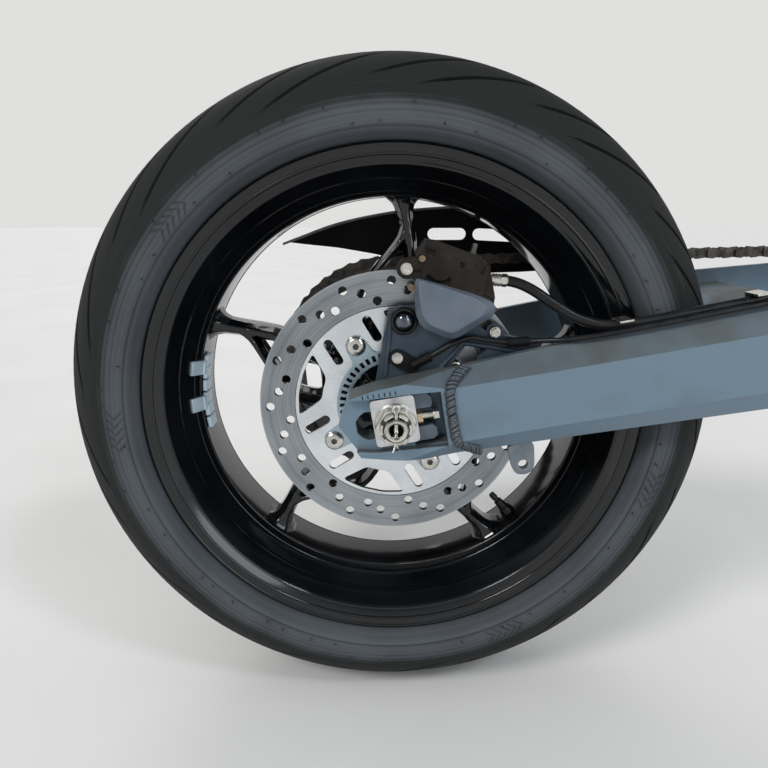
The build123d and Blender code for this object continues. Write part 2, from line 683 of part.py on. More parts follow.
def stand_tab():
    """Right bored tab under the beam for a stand spool."""
    (s0, *_, b0), (s1, *_, b1) = STATIONS[:2]
    bottom = b0 + (b1 - b0) * (TAB_AT + TAB_R - s0) / (s1 - s0) - SEAT_GAP
    outline = bar((TAB_AT, bottom), (TAB_AT, -TAB_DROP), 2 * TAB_R + 4, 2 * TAB_R)
    outline += Pos(TAB_AT, -TAB_DROP) * RegularPolygon(TAB_R, SMALL_SIDES)
    outline -= Pos(TAB_AT, -TAB_DROP) * RegularPolygon(TAB_HOLE_R, SMALL_SIDES)
    return plate(outline, TAB_Y - TAB_T / 2, TAB_Y + TAB_T / 2)


def caliper_bracket():
    """Bracket on the axle that carries caliper and sensor, with an arm to the stop on the beam."""
    outline = RegularPolygon(EYE_R, ROUND_SIDES) + face_of([
        (-20, 5), (-17, 27), (-9, 71), (-5, 92), (18, 96), (32, 82), (66, 82), (80, 74), (130, 62),
        (130, 42), (84, 42), (50, 26), (22, -8),
    ])
    outline += [Pos(*SLIDE_BOLT) * RegularPolygon(13, SMALL_SIDES), Pos(*CLIP_EAR) * RegularPolygon(8, SMALL_SIDES)]
    outline -= [
        RegularPolygon(AXLE_HOLE_R, ROUND_SIDES), face_of([(46, 38), (64, 62), (82, 58), (74, 45)]),
        Pos(*SENSOR_AT) * RegularPolygon(SENSOR_R + SEAT_GAP, SMALL_SIDES),
    ]
    eye = sleeve(EYE_R - 3, AXLE_HOLE_R, LUG_IN, BRACKET_IN + 2)
    return plate(outline, BRACKET_OUT, BRACKET_IN) + eye


def bracket_stop():
    """Stop on the beam's inner face that holds the bracket's arm."""
    x, z = STOP_AT
    return rod(7, BEAM_IN, BRACKET_OUT - SEAT_GAP / 3, x, z, SMALL_SIDES)


def caliper():
    """Floating caliper: bevelled cover, bridge over the disc and inner finger."""
    cover = [(16.5, 120), (18, 88), (24, 79), (46, 70), (52, 70), (84, 90), (86, 104), (78, 108)]
    shell = [(16.5, 120), (18, 88), (24, 79), (46, 70), (52, 70), (84, 90), (86, 104), (80, 132), (64, 146),
             (28, 152), (20, 140)]
    inner = [(20, 120), (30, 76), (80, 90), (84, 104), (80, 132), (64, 146), (28, 152), (20, 140)]
    top = extrude(Plane.XZ.offset(-BRACKET_OUT + SEAT_GAP) * face_of(cover),
                  amount=BRACKET_OUT - SEAT_GAP - CALIPER_OUT, taper=10)
    eye = Pos(*PIN_BOLT) * RegularPolygon(9, SMALL_SIDES) + face_of([(8, 121), (24, 118), (30, 140), (10, 137)])
    body = top + [
        plate(face_of(shell), BRACKET_OUT - 7, BRACKET_OUT - SEAT_GAP),
        plate(face_of(inner), BRACKET_OUT - SEAT_GAP, CALIPER_IN),
        plate(eye, BRACKET_OUT - 5, BRACKET_OUT + 8),
    ]
    room = rod(DISC_R + DISC_ROOM, DISC_FRONT - PAD_THICK - 1, DISC_BACK + PAD_THICK + 1, sides=72)
    bracket_room = plate(
        face_of([(-30, 0), (-30, 97), (19.5, 97), (33, 83.5), (67, 83.5), (82, 84), (100, 78), (100, 0)]),
        BRACKET_OUT - SEAT_GAP, BRACKET_IN + SEAT_GAP)
    return body - room - bracket_room


def pads():
    """Pads either side of the disc, just off its faces."""
    outer_arc = [polar(DISC_R + DISC_ROOM - 1, a) for a in (76, 68, 60, 52, 44)]
    sector = face_of(outer_arc + [polar(BAND_INNER_R + 1, a) for a in (44, 60, 76)])
    return [
        plate(sector, DISC_FRONT - PAD_GAP - PAD_THICK, DISC_FRONT - PAD_GAP),
        plate(sector, DISC_BACK + PAD_GAP, DISC_BACK + PAD_GAP + PAD_THICK),
    ]


def caliper_bolts():
    """Domed slide bolt, pin bolt and the bolts of sensor and clip."""
    made = []
    for (x, z), radius, sides, y_low, y_high in (
        (SLIDE_BOLT, 8.6, SMALL_SIDES, BRACKET_OUT - 9, BRACKET_OUT),
        (PIN_BOLT, 5.4, 6, BRACKET_OUT - 10, BRACKET_OUT - 5),
        (SENSOR_BOLT, 5.2, 6, BRACKET_OUT - 8.2, BRACKET_OUT - 4.2),
        (CLIP_EAR, 5.2, 6, BRACKET_OUT - 8, BRACKET_OUT),
    ):
        made.append(rod(radius, y_low, y_high, x, z, sides))
    return made


def wheel_sensor():
    """Wheel speed sensor on the bracket, its nose just off the pulse ring."""
    x, z = SENSOR_AT
    flange = bar(SENSOR_BOLT, SENSOR_AT, 15, 14) + [
        Pos(*SENSOR_BOLT) * RegularPolygon(7.5, SMALL_SIDES), Pos(x, z) * RegularPolygon(7.0, SMALL_SIDES)]
    nose = rod(SENSOR_R, BRACKET_OUT - 4, RING_FRONT - SENSOR_NOSE_GAP, x, z, SMALL_SIDES)
    head = stick((x, BRACKET_OUT - 5, z), (x + 16, BRACKET_OUT - 5, z + 8.5), 4.6, 8)
    return plate(flange, BRACKET_OUT - 4.2, BRACKET_OUT - SEAT_GAP / 3) + [nose, head]


def run_on_beam(y, lift, start):
    """Points along the top of the right beam, bent where its top bends."""
    points = [above_beam(along, lift) for along in (start, STATIONS[2][0], RUN_END)]
    return [(x, y, z) for x, z in points]


def end_fitting(y, radius, lift):
    """Fitting on the front end of a hose or lead, above the right beam."""
    (x0, z0), (x1, z1) = (above_beam(along, lift) for along in (RUN_END - 3, RUN_END + END_FITTING))
    return stick((x0, y, z0), (x1, y, z1), radius, 8)


def sensor_lead():
    """Sensor's lead: over the bracket's arm, then along the beam."""
    x, z = SENSOR_AT
    y = BRACKET_OUT - 5
    path = [(x + 16.6, y, z + 8.8), (42, y, 58.5), (51, y, 64), (66, y, 69.5), (76, y, 67), (98, y, 64.5), (117, y - 2, 66)]
    joint = stick((98, y, 64.5), (117, y - 2, 66), 4.6, 8)
    return string(path + run_on_beam(LEAD_Y, LEAD_LIFT, 165), LEAD_R, 5) + [joint, end_fitting(LEAD_Y, 4.2, LEAD_LIFT + 2.0)]


def brake_hose():
    """Hose from the caliper's front to the arm, then along the beam."""
    path = [(84.3, -84, 118), (98, -86, 118), (116, -90, 112), (136, -96, 98), (160, -101, 84)]
    hose = string(path + run_on_beam(HOSE_Y, HOSE_R + SEAT_GAP, 200), HOSE_R, 6)
    return hose + end_fitting(HOSE_Y, HOSE_R + 0.2, HOSE_R + SEAT_GAP)


def hose_clips():
    """Clips that hold hose and lead down on the beam, each with a foot on its inner face."""
    made = []
    for along in CLIP_AT:
        rise = 2 * HOSE_R + 1.0
        x, z = above_beam(along, 0.0)
        strap = plate(Pos(0, rise + 1) * Rectangle(12, 2.0), LEAD_Y - 4, BEAM_IN + SEAT_GAP + 2)
        foot = plate(Pos(0, rise / 2 - 5) * Rectangle(12, rise + 14), BEAM_IN + SEAT_GAP, BEAM_IN + SEAT_GAP + 2)
        made.append(Pos(x, 0, z) * Rot(0, -ARM_SLOPE, 0) * (strap + foot))
    return made


def make_all():
    """Every node by name, with the frame that it is drawn in."""
    beam_right, lug_right, screw = beam(), lug(), adjuster_screw()
    bead, tab, block = weld_bead(beam_right, lug_right), stand_tab(), adjuster()
    wheel = {
        "tyre": tyre(), "wheel_casting": wheel_casting(), "brake_disc": brake_disc(),
        "sensor_ring": sensor_ring(), "disc_bolts": disc_bolts(), "sprocket": sprocket(),
        "sprocket_carrier": sprocket_carrier(), "sprocket_nuts": sprocket_nuts(),
        "balance_weights": balance_weights(), "valve_stem": valve_stem(),
        "chain": chain(), "chain_guard": chain_guard(), "axle": axle(), "axle_nut": axle_nut(),
        "split_pin": split_pin(), "wheel_spacers": spacers(), "caliper_bracket": caliper_bracket(),
        "bracket_stop": bracket_stop(), "caliper": caliper(), "brake_pads": pads(),
        "caliper_bolts": caliper_bolts(), "wheel_sensor": wheel_sensor(), "sensor_lead": sensor_lead(),
        "brake_hose": brake_hose(), "hose_clips": hose_clips(),
    }
    arm = {
        "beam_right": beam_right, "beam_left": left_of(beam_right),
        "lug_right": lug_right, "lug_left": left_of(lug_right),
        "weld_beads": [bead, left_of(bead)],
        "adjuster_right": block, "adjuster_left": left_of(block),
        "adjuster_screws": [screw, left_of(screw)],
        "stand_tabs": [tab, left_of(tab)], "link_ears": link_ears(),
        "pivot_sleeve": pivot_sleeve(), "cross_member": cross_member(), "chain_slider": chain_slider(),
    }
    nodes = {name: (AT_AXLE, shape) for name, shape in wheel.items()}
    nodes.update({name: (ALONG_ARM, shape) for name, shape in arm.items()})
    return nodes


def write_all():
    """One STEP file for each node."""
    os.makedirs("parts", exist_ok=True)
    for name, (place, shape) in make_all().items():
        pieces = shape if isinstance(shape, list) else [shape]
        placed = Compound(children=[place * piece for piece in pieces])
        export_step(placed, f"parts/{name}.step")


write_all()
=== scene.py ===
"""Looks of a motorcycle's rear swingarm unit: wheel, tyre, disc brake, chain drive and arm.

Each sub-assembly is a class that keeps its sizes in millimetres. They are counted from the axle,
X forwards, Y to the left and Z up, or along the arm where the arm's own slope matters.
"""

from __future__ import annotations

import logging
import math
import random
from dataclasses import dataclass
from enum import Enum
from functools import cached_property
from typing import Iterable, Sequence

import bmesh
import bpy
from mathutils import Matrix, Vector

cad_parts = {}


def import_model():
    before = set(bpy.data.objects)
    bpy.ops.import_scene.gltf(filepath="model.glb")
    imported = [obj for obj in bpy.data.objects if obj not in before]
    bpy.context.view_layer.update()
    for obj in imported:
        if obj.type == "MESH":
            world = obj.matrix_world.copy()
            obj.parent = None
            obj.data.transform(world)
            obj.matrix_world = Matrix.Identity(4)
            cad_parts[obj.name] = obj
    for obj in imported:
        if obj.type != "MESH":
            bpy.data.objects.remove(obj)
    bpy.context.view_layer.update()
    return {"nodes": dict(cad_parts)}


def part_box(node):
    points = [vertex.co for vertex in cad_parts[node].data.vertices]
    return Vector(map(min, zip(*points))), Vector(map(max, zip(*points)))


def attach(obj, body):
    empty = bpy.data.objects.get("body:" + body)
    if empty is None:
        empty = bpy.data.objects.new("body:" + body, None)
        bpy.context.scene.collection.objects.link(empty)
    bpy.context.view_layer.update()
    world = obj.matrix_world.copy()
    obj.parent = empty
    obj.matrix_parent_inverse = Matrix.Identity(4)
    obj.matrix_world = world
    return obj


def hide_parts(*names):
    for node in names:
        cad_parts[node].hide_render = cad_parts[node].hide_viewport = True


LOG = logging.getLogger("swingarm_unit")
MM = 0.001
ACROSS = Vector((0.0, 1.0, 0.0))
# Distances in millimetres within which points are one, and count as lying on a cut
WELD = 0.004
ON_CUT = 0.01
# Share of an outline's side that a rounded corner may take, and steps along and round a cord
CORNER_SHARE = 0.45
CORD_STEPS = (8, 4)
Point = tuple[float, float]
Points = tuple[Point, ...]
Spot = tuple[float, float, float]
Row = tuple[float, ...]
Color = tuple[float, float, float]
Socket = bpy.types.NodeSocket

# Scale of a pattern's broad structure, as a share of its fine grain's
CAST_LUMPS = 0.3
TURNED_BANDS = 0.12
# How far brushing stretches the grain, and turning the highlights
BRUSH_STRETCH = 0.04
TURNED_STRETCH = 0.75
# Sums of noise between which a surface goes over to its second colour
BRUSHED_RANGE = (0.3, 1.7)
# For side light the sum is of noise and how far a face looks up: painted light on side faces, darker tops
SIDE_LIGHT_RANGE = (0.62, 1.55)
TURNED_RANGE = (0.8, 2.0)
TREAD_RANGE = (0.9, 1.85)
# Sidewall of the tyre: radius in metres where it starts, both edges of the change, rings and dust
WALL_TOP = 0.264
WALL_EDGES = (-0.006, 0.005)
WALL_RINGS = 260.0
WALL_DUST = 0.35


class Body(Enum):
    """The two bodies that pieces ride on."""

    ARM = "arm"
    WHEEL = "wheel"


class Pattern(Enum):
    """How a surface was made, which sets its fine structure."""

    MOULDED = "moulded"
    CAST = "cast"
    BRUSHED = "brushed"
    TURNED = "turned"
    # Painted light: faces that look sideways get a lighter bluish colour, faces that look up a darker grey
    SIDE_LIGHT = "painted"
    TREAD = "tread"


class Graph:
    """A tree of shader nodes, with short calls for those that the looks share."""

    def __init__(self, tree: bpy.types.NodeTree) -> None:
        """Takes hold of the node tree of a material or a world."""
        self.tree = tree

    @cached_property
    def place(self) -> Socket:
        """Object coordinates."""
        return self.node("TexCoord", {}, "Object")

    def feed(self, socket: Socket, value: object) -> None:
        """Links an output to a socket, or sets the socket's own value.

        Args:
            socket: The input.
            value: An output, a number, a vector or a colour without its alpha.
        """
        if isinstance(value, Socket):
            self.tree.links.new(value, socket)
        elif socket.type == "RGBA":
            socket.default_value = (*value, 1.0)
        else:
            socket.default_value = value

    def node(self, kind: str, inputs: dict, output: str | int = 0, **settings: object) -> Socket:
        """Adds a node and feeds its inputs.

        Args:
            kind: Its type, without the prefix that all types share.
            inputs: Values for its inputs, by name or number.
            output: Name or number of the output to hand back.
            settings: Its own options, set before its inputs.

        Returns:
            That output.
        """
        made = self.tree.nodes.new(f"ShaderNode{kind}")
        for name, value in settings.items():
            setattr(made, name, value)
        for name, value in inputs.items():
            self.feed(made.inputs[name], value)
        return made.outputs[output]

    def dress(self, name: str, value: object) -> None:
        """Sets or links an input of the principled shader."""
        shader = next(n for n in self.tree.nodes if n.type == "BSDF_PRINCIPLED")
        self.feed(shader.inputs[name], value)

    def noise(self, place: Socket, scale: float, detail: float = 3.0) -> Socket:
        """Smooth noise between 0 and 1, with that many features per metre."""
        return self.node("TexNoise", {"Vector": place, "Scale": scale, "Detail": detail})

    def mapped(self, scale: Spot, shift: Spot = (0, 0, 0)) -> Socket:
        """Object coordinates, stretched and moved."""
        return self.node("Mapping", {"Vector": self.place, "Scale": scale, "Location": shift})

    def radius(self, axle: Vector) -> Socket:
        """Distance from the axle's line, in metres."""
        flat = self.mapped((1, 0, 1), (-axle.x, 0, -axle.z))
        return self.node("VectorMath", {0: flat}, "Value", operation="LENGTH")

    def upward(self) -> Socket:
        """How far a face looks up, as the Z of its normal."""
        return self.node("SeparateXYZ", {0: self.node("TexCoord", {}, "Normal")}, "Z")

    def turned_grain(self, amount: float) -> None:
        """Stretches highlights across a turned surface's grain, about the Y axis."""
        self.dress("Tangent", self.node("Tangent", {}, direction_type="RADIAL", axis="Y"))
        self.dress("Anisotropic", amount)

    def rings(self, radius: Socket, scale: float) -> Socket:
        """Noise that changes with the radius only, as turning marks do."""
        inputs = {"W": radius, "Scale": scale, "Detail": 2.0}
        return self.node("TexNoise", inputs, noise_dimensions="1D")

    def span(self, value: Socket, low: float, high: float, start: float = 0.3, end: float = 0.7) -> Socket:
        """Carries start to end of a value over to low to high."""
        return self.node("MapRange", {"Value": value, "From Min": start, "From Max": end,
                                      "To Min": low, "To Max": high})

    def blend(self, share: Socket, first: Color, second: Color) -> Socket:
        """Mix of two colours."""
        return self.node("Mix", {0: share, 6: first, 7: second}, 2, data_type="RGBA")

    def add(self, *values: Socket) -> Socket:
        """Sum of two or more values.

        Args:
            values: The outputs to sum.

        Returns:
            The sum.
        """
        total = values[0]
        for value in values[1:]:
            total = self.node("Math", {0: total, 1: value}, operation="ADD")
        return total

    def bump(self, height: Socket, relief: float) -> Socket:
        """Normal of a surface with that relief, in millimetres."""
        return self.node("Bump", {"Distance": relief * MM, "Height": height})


def add_object(name: str, data: bpy.types.ID) -> bpy.types.Object:
    """Makes an object and puts it in the scene.

    Args:
        name: Name of the object.
        data: Its mesh, curve, light or camera.

    Returns:
        The object.
    """
    made = bpy.data.objects.new(name, data)
    bpy.context.scene.collection.objects.link(made)
    return made


def blank_material(name: str) -> bpy.types.Material:
    """Makes a material with the principled shader alone.

    Args:
        name: Name of the material.

    Returns:
        The Blender material.
    """
    made = bpy.data.materials.new(name)
    made.use_nodes = True
    return made


@dataclass(frozen=True)
class Finish:
    """One surface finish: two colours that it wanders between, gloss and fine structure."""

    name: str
    slot: str
    color: Color
    shade: Color
    metallic: float = 0.0
    roughness: float = 0.5
    wander: float = 0.08
    patches: float = 25.0
    grain: float = 1400.0
    relief: float = 0.05
    specular: float = 0.5
    pattern: Pattern = Pattern.MOULDED

    def material(self, axle: Vector) -> bpy.types.Material:
        """Makes the material, or finds it where it is made already.

        Args:
            axle: The wheel's axle in metres, about which turned surfaces are centred.

        Returns:
            The Blender material.
        """
        known = bpy.data.materials.get(self.name)
        if known:
            return known
        made = blank_material(self.name)
        graph = Graph(made.node_tree)
        share, height = self.structure(graph, axle)
        rough = graph.span(share, self.roughness - self.wander, self.roughness + self.wander, 0.0, 1.0)
        for name, value in (("Metallic", self.metallic), ("Specular IOR Level", self.specular),
                            ("Base Color", graph.blend(share, self.color, self.shade)),
                            ("Roughness", rough), ("Normal", graph.bump(height, self.relief))):
            graph.dress(name, value)
        return made

    def structure(self, graph: Graph, axle: Vector) -> tuple[Socket, Socket]:
        """Works out where the second colour shows and how the surface rises.

        Args:
            graph: The material's nodes.
            axle: The wheel's axle in metres.

        Returns:
            Share of the second colour, and height of the relief.
        """
        cloud = graph.span(graph.noise(graph.place, self.patches), 0.0, 1.0)
        if self.pattern is Pattern.BRUSHED:
            lines = graph.noise(graph.mapped((BRUSH_STRETCH, 1.0, 1.0)), self.grain, 2.0)
            return graph.span(graph.add(lines, cloud), 0.0, 1.0, *BRUSHED_RANGE), lines
        if self.pattern is Pattern.TURNED:
            graph.turned_grain(TURNED_STRETCH)
            radius = graph.radius(axle)
            fine, broad = graph.rings(radius, self.grain), graph.rings(radius, self.grain * TURNED_BANDS)
            return graph.span(graph.add(fine, broad, cloud), 0.0, 1.0, *TURNED_RANGE), fine
        grain = graph.noise(graph.place, self.grain)
        if self.pattern is Pattern.CAST:
            return cloud, graph.add(graph.noise(graph.place, self.grain * CAST_LUMPS, 5.0), grain)
        # Painted light by face direction: side faces take the lighter bluish first colour, upward faces the
        # darker grey
        if self.pattern is Pattern.SIDE_LIGHT:
            return graph.span(graph.add(graph.upward(), cloud), 0.0, 1.0, *SIDE_LIGHT_RANGE), grain
        if self.pattern is Pattern.TREAD:
            radius = graph.radius(axle)
            inner, outer = (WALL_TOP + edge for edge in WALL_EDGES)
            wall = graph.span(radius, 1.0, 0.0, inner, outer)
            dust = graph.span(graph.noise(graph.place, self.patches), 0.0, WALL_DUST)
            total = graph.add(wall, graph.rings(radius, WALL_RINGS), dust)
            return graph.span(total, 0.0, 1.0, *TREAD_RANGE), grain
        return cloud, grain


class Finishes:
    """The finishes of this unit."""

    TYRE = Finish("tyre_compound", "tyre_rubber", (0.017, 0.018, 0.018), (0.078, 0.087, 0.098),
                  roughness=0.78, wander=0.07, patches=14.0, grain=1100.0, relief=0.08, specular=0.12,
                  pattern=Pattern.TREAD)
    MOULDING = Finish("sidewall_moulding", "tyre_rubber", (0.034, 0.038, 0.042), (0.052, 0.058, 0.064),
                      roughness=0.70, patches=14.0, grain=1100.0, relief=0.04, specular=0.15)
    WHEEL = Finish("wheel_gloss_black", "black_gloss", (0.0022, 0.0027, 0.0034), (0.005, 0.006, 0.0075),
                   roughness=0.10, wander=0.03, patches=18.0, grain=500.0, relief=0.008, specular=0.5)
    DISC = Finish("disc_band_steel", "stainless", (0.18, 0.20, 0.215), (0.41, 0.445, 0.475), 1.0,
                  roughness=0.29, wander=0.10, patches=9.0, grain=900.0, relief=0.05,
                  pattern=Pattern.TURNED)
    DISC_CENTRE = Finish("disc_centre_steel", "stainless", (0.56, 0.60, 0.63), (0.86, 0.90, 0.93), 1.0,
                         roughness=0.30, wander=0.10, patches=22.0, grain=2200.0, relief=0.03,
                         pattern=Pattern.BRUSHED)
    RING = Finish("pulse_ring_steel", "stainless", (0.28, 0.37, 0.42), (0.44, 0.55, 0.62), 1.0,
                  roughness=0.34, patches=60.0, grain=2600.0, relief=0.02, pattern=Pattern.BRUSHED)
    ZINC = Finish("zinc_plate", "zinc", (0.46, 0.45, 0.41), (0.74, 0.73, 0.68), 1.0,
                  roughness=0.22, patches=140.0, grain=3000.0, relief=0.03)
    # Aged zinc on the pivot, stop and bleed nipple; also painted shade on the socket floors and under the
    # nut's lands
    DULL_ZINC_AND_SHADE = Finish("aged_zinc_and_painted_shade", "zinc", (0.07, 0.07, 0.07), (0.16, 0.155, 0.15), 0.9,
                       roughness=0.45, patches=120.0, grain=2000.0, relief=0.05)
    BRASS = Finish("passivated_nut", "zinc", (0.55, 0.42, 0.26), (0.66, 0.54, 0.36), 1.0,
                   roughness=0.32, patches=150.0, grain=3000.0, relief=0.02)
    PIN = Finish("aged_pin", "zinc", (0.17, 0.13, 0.085), (0.27, 0.21, 0.14), 0.9,
                 roughness=0.38, patches=150.0, grain=2000.0, relief=0.03)
    STEEL = Finish("oiled_steel", "steel", (0.035, 0.032, 0.029), (0.13, 0.12, 0.105), 0.85,
                   roughness=0.42, patches=110.0, grain=1800.0, relief=0.05, pattern=Pattern.CAST)
    SPROCKET = Finish("sprocket_steel", "steel", (0.06, 0.06, 0.06), (0.15, 0.145, 0.14), 0.9,
                      roughness=0.40, grain=700.0, relief=0.03, pattern=Pattern.TURNED)
    ALUMINIUM = Finish("machined_aluminium", "aluminium", (0.50, 0.51, 0.53), (0.74, 0.75, 0.77), 1.0,
                       roughness=0.36, patches=90.0, grain=2400.0, relief=0.05, pattern=Pattern.BRUSHED)
    FOIL = Finish("foil_weight", "zinc", (0.36, 0.46, 0.53), (0.56, 0.68, 0.75), 0.3,
                  roughness=0.34, patches=60.0, grain=2000.0, relief=0.03, pattern=Pattern.BRUSHED)
    TAB = Finish("grey_aluminium", "aluminium", (0.13, 0.155, 0.18), (0.20, 0.23, 0.26), 0.6,
                 roughness=0.46, patches=60.0, grain=1600.0, relief=0.08, pattern=Pattern.CAST)
    # First colour is painted bluish light on side faces, second the darker grey of upward faces
    ARM = Finish("arm_graphite_painted_side_light", "arm_paint", (0.140, 0.206, 0.264), (0.092, 0.100, 0.100), 0.2,
                 roughness=0.40, wander=0.05, patches=12.0, grain=2600.0, relief=0.06, specular=0.4,
                 pattern=Pattern.SIDE_LIGHT)
    BEAD = Finish("bead_graphite", "arm_paint", (0.050, 0.062, 0.074), (0.085, 0.100, 0.116), 0.3,
                  roughness=0.30, patches=90.0, grain=2200.0, relief=0.04)
    CALIPER = Finish("caliper_cast_brown", "cast_dark", (0.0065, 0.0055, 0.0045), (0.021, 0.0155, 0.0115),
                     0.15, roughness=0.55, patches=45.0, grain=1500.0, relief=0.16, specular=0.22,
                     pattern=Pattern.CAST)
    COVER = Finish("caliper_cover_grey", "cast_dark", (0.095, 0.122, 0.158), (0.125, 0.152, 0.188), 0.2,
                   roughness=0.44, patches=40.0, grain=2000.0, relief=0.06, specular=0.4)
    BRACKET = Finish("bracket_blue_black", "cast_dark", (0.022, 0.038, 0.058), (0.045, 0.062, 0.082), 0.25,
                     roughness=0.42, patches=35.0, grain=1500.0, relief=0.10, specular=0.35,
                     pattern=Pattern.CAST)
    PLASTIC = Finish("guard_plastic", "plastic", (0.0030, 0.0032, 0.0040), (0.0070, 0.0072, 0.0085),
                     roughness=0.50, patches=30.0, grain=1900.0, relief=0.06, specular=0.15)
    RUBBER = Finish("smooth_rubber", "rubber", (0.0040, 0.0042, 0.0050), (0.0100, 0.0102, 0.0115),
                    roughness=0.30, patches=70.0, grain=1300.0, relief=0.03, specular=0.3)
    BLUED = Finish("blued_steel", "zinc", (0.07, 0.08, 0.095), (0.16, 0.175, 0.20), 1.0,
                   roughness=0.17, wander=0.05, patches=120.0, grain=1500.0, relief=0.02)
    # Light grey as a painted highlight along the guard's rolled edge
    EDGE = Finish("rolled_edge_painted_highlight", "plastic", (0.20, 0.205, 0.21), (0.30, 0.305, 0.31),
                  roughness=0.40, patches=60.0, grain=1900.0, relief=0.04)
    PAD = Finish("pad_backing", "steel", (0.12, 0.065, 0.04), (0.22, 0.12, 0.07), 0.6,
                 roughness=0.6, patches=120.0, grain=1200.0, relief=0.1, pattern=Pattern.CAST)
    MARK = Finish("engraved_mark", "arm_paint", (0.005, 0.005, 0.006), (0.010, 0.010, 0.012),
                  roughness=0.7, patches=200.0, grain=2000.0, relief=0.02, specular=0.2)


def polar(radius: float, angle: float) -> Point:
    """Point (X, Z) at a radius and an angle in degrees."""
    return radius * math.cos(math.radians(angle)), radius * math.sin(math.radians(angle))


def circle(x: float, z: float, radius: float, count: int) -> list[Point]:
    """Closed round outline about (x, z)."""
    turns = (math.radians(360 * k / count) for k in range(count))
    return [(x + radius * math.cos(t), z + radius * math.sin(t)) for t in turns]


def rounded(corners: Sequence[Point], radius: float, steps: int = 4) -> list[Point]:
    """Closed outline with each corner turned into an arc.

    Args:
        corners: Closed outline.
        radius: How far from a corner its arc starts.
        steps: Steps of each arc.

    Returns:
        The rounded outline.
    """
    made = []
    for k, corner in enumerate(corners):
        here = Vector(corner)
        back, ahead = Vector(corners[k - 1]) - here, Vector(corners[(k + 1) % len(corners)]) - here
        start = here + back.normalized() * min(radius, CORNER_SHARE * back.length)
        end = here + ahead.normalized() * min(radius, CORNER_SHARE * ahead.length)
        for step in range(steps + 1):
            share = step / steps
            made.append(tuple(start * (1 - share) ** 2 + here * 2 * share * (1 - share) + end * share ** 2))
    return made


def slot_outline(start: Point, end: Point, width: float, steps: int = 6) -> list[Point]:
    """Closed outline of a slot with round ends.

    Args:
        start: Middle of one end.
        end: Middle of the other.
        width: Width of the slot.
        steps: Steps of each end's arc.

    Returns:
        The outline.
    """
    a, b = Vector(start), Vector(end)
    lean = math.degrees(math.atan2(b.y - a.y, b.x - a.x))
    made = []
    for centre, first in ((b, lean - 90), (a, lean + 90)):
        for step in range(steps + 1):
            x, z = polar(width / 2, first + 180 * step / steps)
            made.append((centre.x + x, centre.y + z))
    return made


def smooth_line(points: Sequence[Sequence[float]], steps: int) -> list[Vector]:
    """Open line that passes smoothly through all the points.

    Args:
        points: Points of two or three coordinates.
        steps: Steps from each point to the next.

    Returns:
        The line's points, the given ones among them.
    """
    knots = [Vector(p) for p in points]
    ends = [knots[0] * 2 - knots[1], *knots, knots[-1] * 2 - knots[-2]]
    made = []
    for a, b, c, d in zip(ends, ends[1:], ends[2:], ends[3:]):
        for step in range(steps):
            t = step / steps
            made.append(0.5 * (2 * b + (c - a) * t + (2 * a - 5 * b + 4 * c - d) * t ** 2
                               + (3 * b - a - 3 * c + d) * t ** 3))
    return [*made, knots[-1]]


def ray(angle: float) -> Vector:
    """Unit vector in the wheel's plane at an angle in radians."""
    return Vector((math.cos(angle), 0, math.sin(angle)))


def turned_by(angle: float) -> Matrix:
    """Turn about the axle that carries angle zero to an angle in degrees."""
    return Matrix.Rotation(-math.radians(angle), 4, "Y")


def around(count: int, start: float) -> list[Matrix]:
    """Turns about the axle, spaced evenly."""
    return [turned_by(start + 360 * k / count) for k in range(count)]


def at(x: float, y: float, z: float) -> Matrix:
    """Move to a place in millimetres."""
    return Matrix.Translation((x, y, z))


